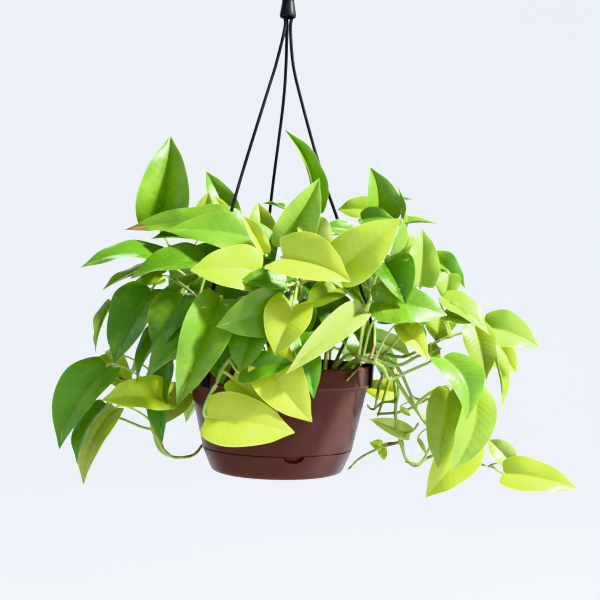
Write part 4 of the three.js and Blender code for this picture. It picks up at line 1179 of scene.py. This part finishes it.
class BladeMesh:
    """Collects the blades of one vine as points, faces, leaf coordinates and stored values."""

    def __init__(self):
        self.points, self.faces, self.uv = [], [], []
        self.stored = {"leaf_tone": [], "underside": [], "flecks": [], "dryness": []}
        self.total = 0

    def add(self, leaf_at, random):
        rows, columns = LEAF_ROWS, 2 * LEAF_COLUMNS
        length, along, side, face = leaf_axes(leaf_at)
        arch = leaf_at["arch"] if leaf_at["arch"] is not None else LEAF_ARCH * length
        u = (np.linspace(0, 1, rows + 1) ** 0.92)[:, None]
        t = np.linspace(-1, 1, columns + 1)[None, :]
        s, hand = np.abs(t), np.sign(t)
        x = rib_at(u) + (margin_at(u, leaf_at["lobe"] + 0.05) - rib_at(u)) * s ** 1.25
        half = leaf_at["width"] / 2 * lateral_at(u) * s
        fold, bow = leaf_at["fold"], 4 * np.clip(x, -0.1, 1) * (1 - x)
        wave = EDGE_WAVE * np.sin(7 * x + leaf_at["width"]) * lateral_at(u) * s ** 2 * hand
        phase = random.uniform(0, 6.28, 4)
        size = length / 90
        ripple = 1.3 * size * np.sin(13 * x + phase[0] + hand) * lateral_at(u) * s ** 3
        ripple += 0.5 * size * np.sin(9 * x + phase[1]) * np.sin(2.6 * t + phase[2]) * s
        cup = -0.05 * leaf_at["width"] * lateral_at(u) * (s ** 2 - s)
        curl = -0.012 * length * smooth(0.7, 1, x) * np.sin(np.pi * np.clip(x, 0, 1)) * 3
        z = half * math.sin(fold) * (1.3 - 0.3 * s) + arch * bow + wave + ripple + cup + curl
        y = hand * half * math.cos(fold) + leaf_at["bend"] * bow
        frame_at = np.array([along, side, face])
        base = np.array(leaf_at["base"])
        middle = base + np.stack([x * length + 0 * t, y + 0 * x, z], -1) @ frame_at
        normal = np.cross(np.gradient(middle, axis=0), np.gradient(middle, axis=1))
        normal /= np.maximum(np.linalg.norm(normal, axis=-1, keepdims=True), 1e-9)
        normal[0] = normal[-1] = np.array(face)
        if (normal[rows // 2, columns // 2] @ np.array(face)) < 0:
            normal = -normal
            normal[0] = normal[-1] = np.array(face)
        thick = BLADE_THICKNESS * (1 - 0.5 * s ** 4) / 2
        top, bottom = middle + normal * thick[..., None], middle - normal * thick[..., None]
        self.sheet(top, bottom, u[:, 0], t[0], leaf_at, random)

    def sheet(self, top, bottom, u, t, leaf_at, random):
        rows, columns = len(u) - 1, len(t) - 1

        def number(layer, i, j):
            if i == 0:
                return layer
            if i == rows:
                return 2 + layer
            return 4 + layer * (rows - 1) * (columns + 1) + (i - 1) * (columns + 1) + j

        points = [top[0, 0], bottom[0, 0], top[rows, 0], bottom[rows, 0]]
        points += list(top[1:rows].reshape(-1, 3)) + list(bottom[1:rows].reshape(-1, 3))
        layers = [0, 1, 0, 1] + [0] * ((rows - 1) * (columns + 1)) + [1] * ((rows - 1) * (columns + 1))

        def face(corners):
            numbers, coordinates = [], []
            for layer, i, j in corners:
                index = number(layer, i, j)
                if index in numbers:
                    continue
                numbers.append(index)
                if i in (0, rows):
                    middle = sum(t[c] for _, _, c in corners) / len(corners)
                else:
                    middle = t[j]
                coordinates.append((0.5 + 0.5 * middle, u[i]))
            if len(numbers) > 2:
                self.faces.append([self.total + index for index in numbers])
                self.uv.extend(coordinates)

        for i in range(rows):
            for j in range(columns):
                face([(0, i, j), (0, i, j + 1), (0, i + 1, j + 1), (0, i + 1, j)])
                face([(1, i, j), (1, i + 1, j), (1, i + 1, j + 1), (1, i, j + 1)])
            face([(0, i, 0), (0, i + 1, 0), (1, i + 1, 0), (1, i, 0)])
            face([(0, i, columns), (1, i, columns), (1, i + 1, columns), (0, i + 1, columns)])
        tone = np.array(TONES[leaf_at["tone"]]) * random.uniform(0.9, 1.1) * random.uniform(0.96, 1.04, 3)
        count = len(points)
        self.points.extend(place(p) for p in points)
        self.stored["leaf_tone"].extend([(*tone, 1.0)] * count)
        self.stored["underside"].extend(float(layer) for layer in layers)
        self.stored["flecks"].extend([leaf_at["flecks"] + random.uniform(0, 0.12)] * count)
        self.stored["dryness"].extend([max(leaf_at["dry"], random.uniform(0, 0.34))] * count)
        self.total += count

    def finish(self, name, skin):
        made = mesh_object(name, self.points, self.faces, skin)
        mesh = made.data
        layer = mesh.uv_layers.new(name="leaf")
        layer.data.foreach_set("uv", np.array(self.uv, dtype=np.float32).ravel())
        for label, values in self.stored.items():
            wide = label == "leaf_tone"
            store = mesh.attributes.new(label, "FLOAT_COLOR" if wide else "FLOAT", "POINT")
            store.data.foreach_set("color" if wide else "value", np.array(values, dtype=np.float32).ravel())
        crease(mesh, 75)
        return made


def petiole_path(leaf_at, stem):
    """A leaf stalk from its place on the stem to the blade, and on as the rib beneath it."""
    length, along, _, _ = leaf_axes(leaf_at)
    base = leaf_at["base"]
    root = nearest_on(stem, Vector(leaf_at["root"]) if leaf_at["root"] else base)
    reach = (base - root).length
    leave = root.lerp(base, PETIOLE_LEAN) + Vector((0, 0, PETIOLE_RISE * reach))
    arrive = base - along * min(0.3 * reach, PETIOLE_LEAD)
    steps = max(6, round(reach / 3))
    path = []
    for step in range(steps + 1):
        t = step / steps
        point = root * (1 - t) ** 3 + leave * (3 * t * (1 - t) ** 2) + arrive * (3 * t * t * (1 - t))
        point += base * t ** 3
        swell = 0.55 * math.exp(-(t * reach / 5) ** 2) + 0.3 * math.exp(-((1 - t) * reach / 4) ** 2)
        slim = min(1, 0.55 + length / 140)
        path.append((point, (PETIOLE_RADIUS + swell) * slim))
    thin = path[-1][1]
    for x in RIB_SHARES:
        radius = thin * RIB_SLIMNESS * (1 - x) ** 0.8 + RIB_LEAST_RADIUS
        path.append((rib_point(leaf_at, x, 0.3 * BLADE_THICKNESS + 0.85 * radius), radius))
    return root, path


def stem_path(points, radius, roots):
    """A stem's points with its thickness: swollen where leaves join, slimmer towards its tip."""
    path = smooth_curve(points, STEM_SPACING)
    sized = []
    for index, point in enumerate(path):
        share = index / (len(path) - 1)
        swell = sum(NODE_SWELL * math.exp(-((point - root).length / NODE_REACH) ** 2) for root in roots)
        tip = smooth(1.0, 0.97, share)
        thickness = (radius * (1.08 - 0.2 * share) + min(swell, NODE_MOST_SWELL)) * float(tip)
        sized.append((point, max(STEM_TIP_RADIUS, thickness)))
    return sized


def make_vine(each, seed):
    """One vine in one piece: its stem, side shoots, nubs, leaf stalks and blades."""
    random = np.random.default_rng(seed)
    name = each["name"]
    x, y = each["soil"]
    start = [(x, y, SOIL_Z - ROOT_DEPTH), (x, y, SOIL_Z - ROOT_DEPTH / 2), (x, y, SOIL_Z + 4)]
    knots = [Vector(p) for p in start + list(each["route"])]
    stem = smooth_curve(knots, 6)
    blades = BladeMesh()
    stalks, roots = [], []
    for leaf_at in each["leaves"]:
        root, path = petiole_path(leaf_at, stem)
        roots.append(root)
        stalks.append(path)
        blades.add(leaf_at, random)
    young = name in LIME_VINES
    stems = [stem_path(knots, STEM_RADIUS, roots)]
    for branch in each["branches"]:
        stems.append(stem_path([Vector(p) for p in branch], BRANCH_RADIUS, []))
    for radius, points in RUNNERS.get(name, []):
        stems.append(stem_path([Vector(p) for p in points], RUNNER_GROWTH * radius, []))
    parts = [
        blades.finish(name + "_blades", YOUNG_LEAF if young else GROWN_LEAF),
        welded(tube(name + "_stalks", stalks, PETIOLE, 10, 0.00015, 200.0, seed)),
        welded(tube(name + "_stems", stems, STEM, 12, 0.0004, 160.0, seed)),
    ]
    above = [(p, r) for p, r in stems[0] if p.z > SOIL_Z + 6]
    parts.append(welded(run_tree(path_object(name + "_nubs", [above]), NUBS, {
        "Spacing": 0.017, "Share": 0.6, "Length": 0.0062, "Thickness": 0.0010, "Seed": seed, "Skin": NUB,
    })))
    return dress(joined("leafy_" + name, parts), "leaf_lime" if young else "leaf_green", name)


# The route of a vine at the back, each point by its distance from the pot's axis and a measure of
# its height: Z itself, then how far below the vine's top, then how far above its middle.
BACK_RISE = ((66, 160),)
BACK_TOP = ((78, 26), (98, 12))
BACK_FALL = ((116, 30), (BACK_FALL_RADIUS, -10))
BACK_END_RADIUS = 122


def back_route(row):
    turn, height, fall = row["turn"], row["height"], row["fall"]
    half = (height + fall) / 2
    route = [around(turn, radius, z) for radius, z in BACK_RISE]
    route += [around(turn, radius, height - drop) for radius, drop in BACK_TOP]
    route += [around(turn, radius, half + rise) for radius, rise in BACK_FALL]
    return route + [around(turn, BACK_END_RADIUS, fall)]


def back_vine(row):
    """A vine at the back, with its leaves set out along it on both sides."""
    turn = row["turn"]
    route = back_route(row)
    state = row["seed"]

    def draw():
        nonlocal state
        state = (state * 1664525 + 1013904223) % 2 ** 32
        return state / 2 ** 32

    leaves = []
    for index in range(BACK_LEAVES):
        share = 0.16 + 0.8 * index / (BACK_LEAVES - 1)
        side = 1 if index % 2 == 0 else -1
        base = at_share(route, share) + around(turn + side * 14, 1, 0) * (20 + 8 * draw())
        base += Vector((0, 0, 20 - 14 * share))
        base += around(turn + 90, 1, 0) * side * (9 + 5 * draw())
        length = 66 + 14 * draw() - 12 * share
        way = around(turn + side * 28, 0.75, -0.55 - 0.4 * share).normalized()
        face = around(turn + side * 20, 1, 0.7)
        leaves.append(leaf(base, base + way * length, 0.66 * length, face, row["tones"][index % 2]))
    return vine(row["name"], around(turn, BACK_SOIL_RADIUS, 0).xy, route, leaves)


# The vines whose leaves are young; those of the others are grown.
LIME_VINES = (
    "vine_crown_left", "vine_lower_left", "vine_front", "vine_front_centre", "vine_right",
    "vine_far_right", "vine_lower_right", "vine_back_far_right", "vine_back_far_left",
)

# Thin roots and leafless side shoots: the radius of each, before all are made thicker by one
# factor, and its points.
RUNNER_GROWTH = 1.3
RUNNERS = {
    "vine_lower_left": [
        (2.0, [(-138, -5, 50), (-137, -6, 42), (-130, -6, 30), (-124, -6, 19), (-116, -4, 12)]),
        (1.3, [(-137, 0, 41), (-148, 0, 43), (-169, 0, 51), (-187, 0, 57)]),
        (1.3, [(-182, -20, 103), (-169, -20, 97), (-146, -20, 89), (-134, -20, 98)]),
    ],
    "vine_front": [
        (1.0, [(-61, -118, 100), (-68, -121, 90), (-70, -123, 76), (-70, -124, 60)]),
    ],
    "vine_right_front": [
        (0.9, [(60, -20, 106), (76, -38, 119), (86, -50, 124), (86, -58, 121), (78, -68, 113),
               (71, -75, 106)]),
        (1.4, [(95, -61, 127), (100, -50, 140), (101, -42, 152), (100, -40, 169)]),
    ],
    "vine_right_long": [
        (1.6, [(96, -41, 129), (113, -46, 123), (129, -46, 122), (148, -46, 132), (173, -46, 141)]),
        (1.8, [(104, -39, 130), (118, -36, 117), (130, -36, 99), (140, -36, 84), (160, -36, 59),
               (168, -38, 50)]),
        (1.3, [(84, -38, 127), (100, -30, 124), (115, -30, 135), (127, -30, 150), (133, -30, 167)]),
        (1.2, [(139, -36, 96), (146, -28, 86), (165, -20, 84), (186, -20, 90)]),
        (0.9, [(148, -46, 132), (160, -40, 137), (172, -30, 141)]),
    ],
    "vine_lower_right": [
        (1.5, [(126, 6, 116), (128, -8, 88), (130, -8, 52), (139, -8, 21), (142, -8, 14)]),
        (1.4, [(124, 8, 112), (117, 14, 81), (110, 14, 59)]),
        (1.3, [(109, 8, 63), (138, 2, 68), (161, 2, 80), (177, 2, 87)]),
        (1.3, [(141, -8, 14), (148, -14, 13), (156, -14, 14), (165, -14, 28), (168, -14, 46)]),
    ],
}

# The leaves inside the crown, in rings: radius, height, how many and their length.
CROWN_RINGS = (
    (14, 178, 5, 52), (28, 216, 6, 60), (50, 202, 9, 60), (72, 180, 11, 58), (92, 156, 13, 54),
    (110, 134, 13, 52),
)
CROWN_SEED = 77
CROWN_TRIES = 14
CROWN_GAP = 21
CROWN_WIDTH = 0.68
# The darkest of these tones is painted shade.
CROWN_TONES = ("green", "fresh", "olive", "painted_shade", "green", "lime", "fresh")

# Limits in Y, where less is nearer to the front: every crown leaf stays behind FRONT_REACH, those
# of rings wider than WIDE_RING stay behind WIDE_LINE, and those before SHADE_LINE get darker tones as painted
# shade.
FRONT_REACH = -44
WIDE_RING = 80
WIDE_LINE = 18
SHADE_LINE = 20


def crown_leaves(vines):
    """Adds the leaves that fill the crown to the vines that pass nearest to them, clear of the others."""
    random = np.random.default_rng(CROWN_SEED)
    stems = {}
    taken = []
    for each in vines:
        x, y = each["soil"]
        stems[each["name"]] = smooth_curve([(x, y, SOIL_Z - 12), (x, y, SOIL_Z + 4), *each["route"]], 8)
        for leaf_at in each["leaves"]:
            taken += [rib_point(leaf_at, share, 0) for share in LEAF_SPOTS]
    for radius, height, count, length in CROWN_RINGS:
        for index in range(count):
            for _ in range(CROWN_TRIES):
                turn = 360 * (index + random.uniform(-0.45, 0.45)) / count
                base = around(turn, radius + random.uniform(-8, 8), height + random.uniform(-12, 12))
                size = length * random.uniform(0.8, 1.15)
                way = around(turn + random.uniform(-35, 35), 1, random.uniform(-0.75, -0.1)).normalized()
                face = around(turn + random.uniform(-20, 20), 1, random.uniform(0.7, 1.3))
                tone = CROWN_TONES[int(random.uniform(0, len(CROWN_TONES)))]
                found = leaf(base, base + way * size, CROWN_WIDTH * size, face, tone,
                             fold=random.uniform(12, 30))
                spots = [rib_point(found, share, 0) for share in LEAF_SPOTS]
                clear = min((a - b).length for a in spots for b in taken) > CROWN_GAP
                lowest = min(spot.y for spot in spots)
                outside = radius > WIDE_RING and lowest < WIDE_LINE
                if clear and lowest > FRONT_REACH and not outside:
                    nearest = min(vines, key=lambda v: (nearest_on(stems[v["name"]], base) - base).length)
                    # Crown leaves nearer the front get darker tones: painted shade.
                    if lowest < SHADE_LINE:
                        found["tone"] = "painted_shade" if index % 2 else "green"
                    nearest["leaves"].append(found)
                    taken += spots
                    break


# Studio: the backdrop's sizes in metres, and where the camera and the lights stand.

FLOOR_Z = -1.0
BACKDROP_RADIUS = 3.6
BACKDROP_BEND = 1.2
BACKDROP_BEND_STEPS = 12
BACKDROP_TOP = 2.6
BACKDROP_SIDES = 96
AIM = (0.02, 0, -0.42)
CAMERA_PLACE = (0.0209, -1.265, -0.3962)
CAMERA_TILT = -0.6
CAMERA_ROLL = 1.4
CAMERA_LENS = 69


def make_backdrop():
    """A pale floor that curves up into a pale wall all round."""
    edge = BACKDROP_RADIUS - BACKDROP_BEND
    profile = [(0, FLOOR_Z), (edge, FLOOR_Z)]
    for step in range(1, BACKDROP_BEND_STEPS + 1):
        angle = step / BACKDROP_BEND_STEPS * math.pi / 2
        profile.append((edge + BACKDROP_BEND * math.sin(angle),
                        FLOOR_Z + BACKDROP_BEND - BACKDROP_BEND * math.cos(angle)))
    profile.append((BACKDROP_RADIUS, BACKDROP_TOP))
    angles = [2 * math.pi * side / BACKDROP_SIDES for side in range(BACKDROP_SIDES)]
    vertices = [(r * math.cos(angle), r * math.sin(angle), z) for r, z in profile for angle in angles]
    faces = ring_faces(len(profile), BACKDROP_SIDES)
    backdrop = welded(mesh_object("backdrop", vertices, faces, BACKDROP), False)
    for polygon in backdrop.data.polygons:
        polygon.use_smooth = True


def light(name, position, size, power, tint):
    """A round soft light that looks at the plant."""
    made = bpy.data.lights.new(name, "AREA")
    made.shape = "DISK"
    made.size = size
    made.energy = power
    made.color = tint
    lamp = linked(name, made)
    lamp.location = position
    lamp.rotation_euler = (Vector(AIM) - Vector(position)).to_track_quat("-Z", "Y").to_euler()


def make_studio():
    """The backdrop, the air's own light, a key and a back light, and the camera."""
    make_backdrop()
    world = bpy.data.worlds.new("studio air")
    bpy.context.scene.world = world
    world.use_nodes = True
    sky = world.node_tree.nodes["Background"]
    sky.inputs["Color"].default_value = (0.86, 0.93, 1.0, 1.0)
    sky.inputs["Strength"].default_value = 0.55
    bpy.context.scene.view_settings.view_transform = "Khronos PBR Neutral"
    light("key", (1.76, -0.50, 1.25), 0.26, 275.0, (1.0, 0.97, 0.91))
    light("back", (-0.8, 2.1, 1.2), 1.2, 18.0, (0.95, 0.98, 1.0))
    lens = bpy.data.cameras.new("camera")
    lens.lens = CAMERA_LENS
    lens.sensor_width = 36
    camera = linked("camera", lens)
    pitch, roll = math.radians(90 + CAMERA_TILT), math.radians(CAMERA_ROLL)
    turn = Matrix.Rotation(pitch, 4, "X") @ Matrix.Rotation(roll, 4, "Z")
    camera.matrix_world = Matrix.Translation(CAMERA_PLACE) @ turn
    bpy.context.scene.camera = camera


# The whole plant.

FIRST_SEED = 101

make_pot()
make_saucer()
make_soil()
make_hook()
for strand in STRANDS:
    make_strand(strand)
vines = FRONT_VINES + [back_vine(row) for row in BACK_VINES]
crown_leaves(vines)
for number, each in enumerate(vines):
    make_vine(each, FIRST_SEED + number)
make_studio()
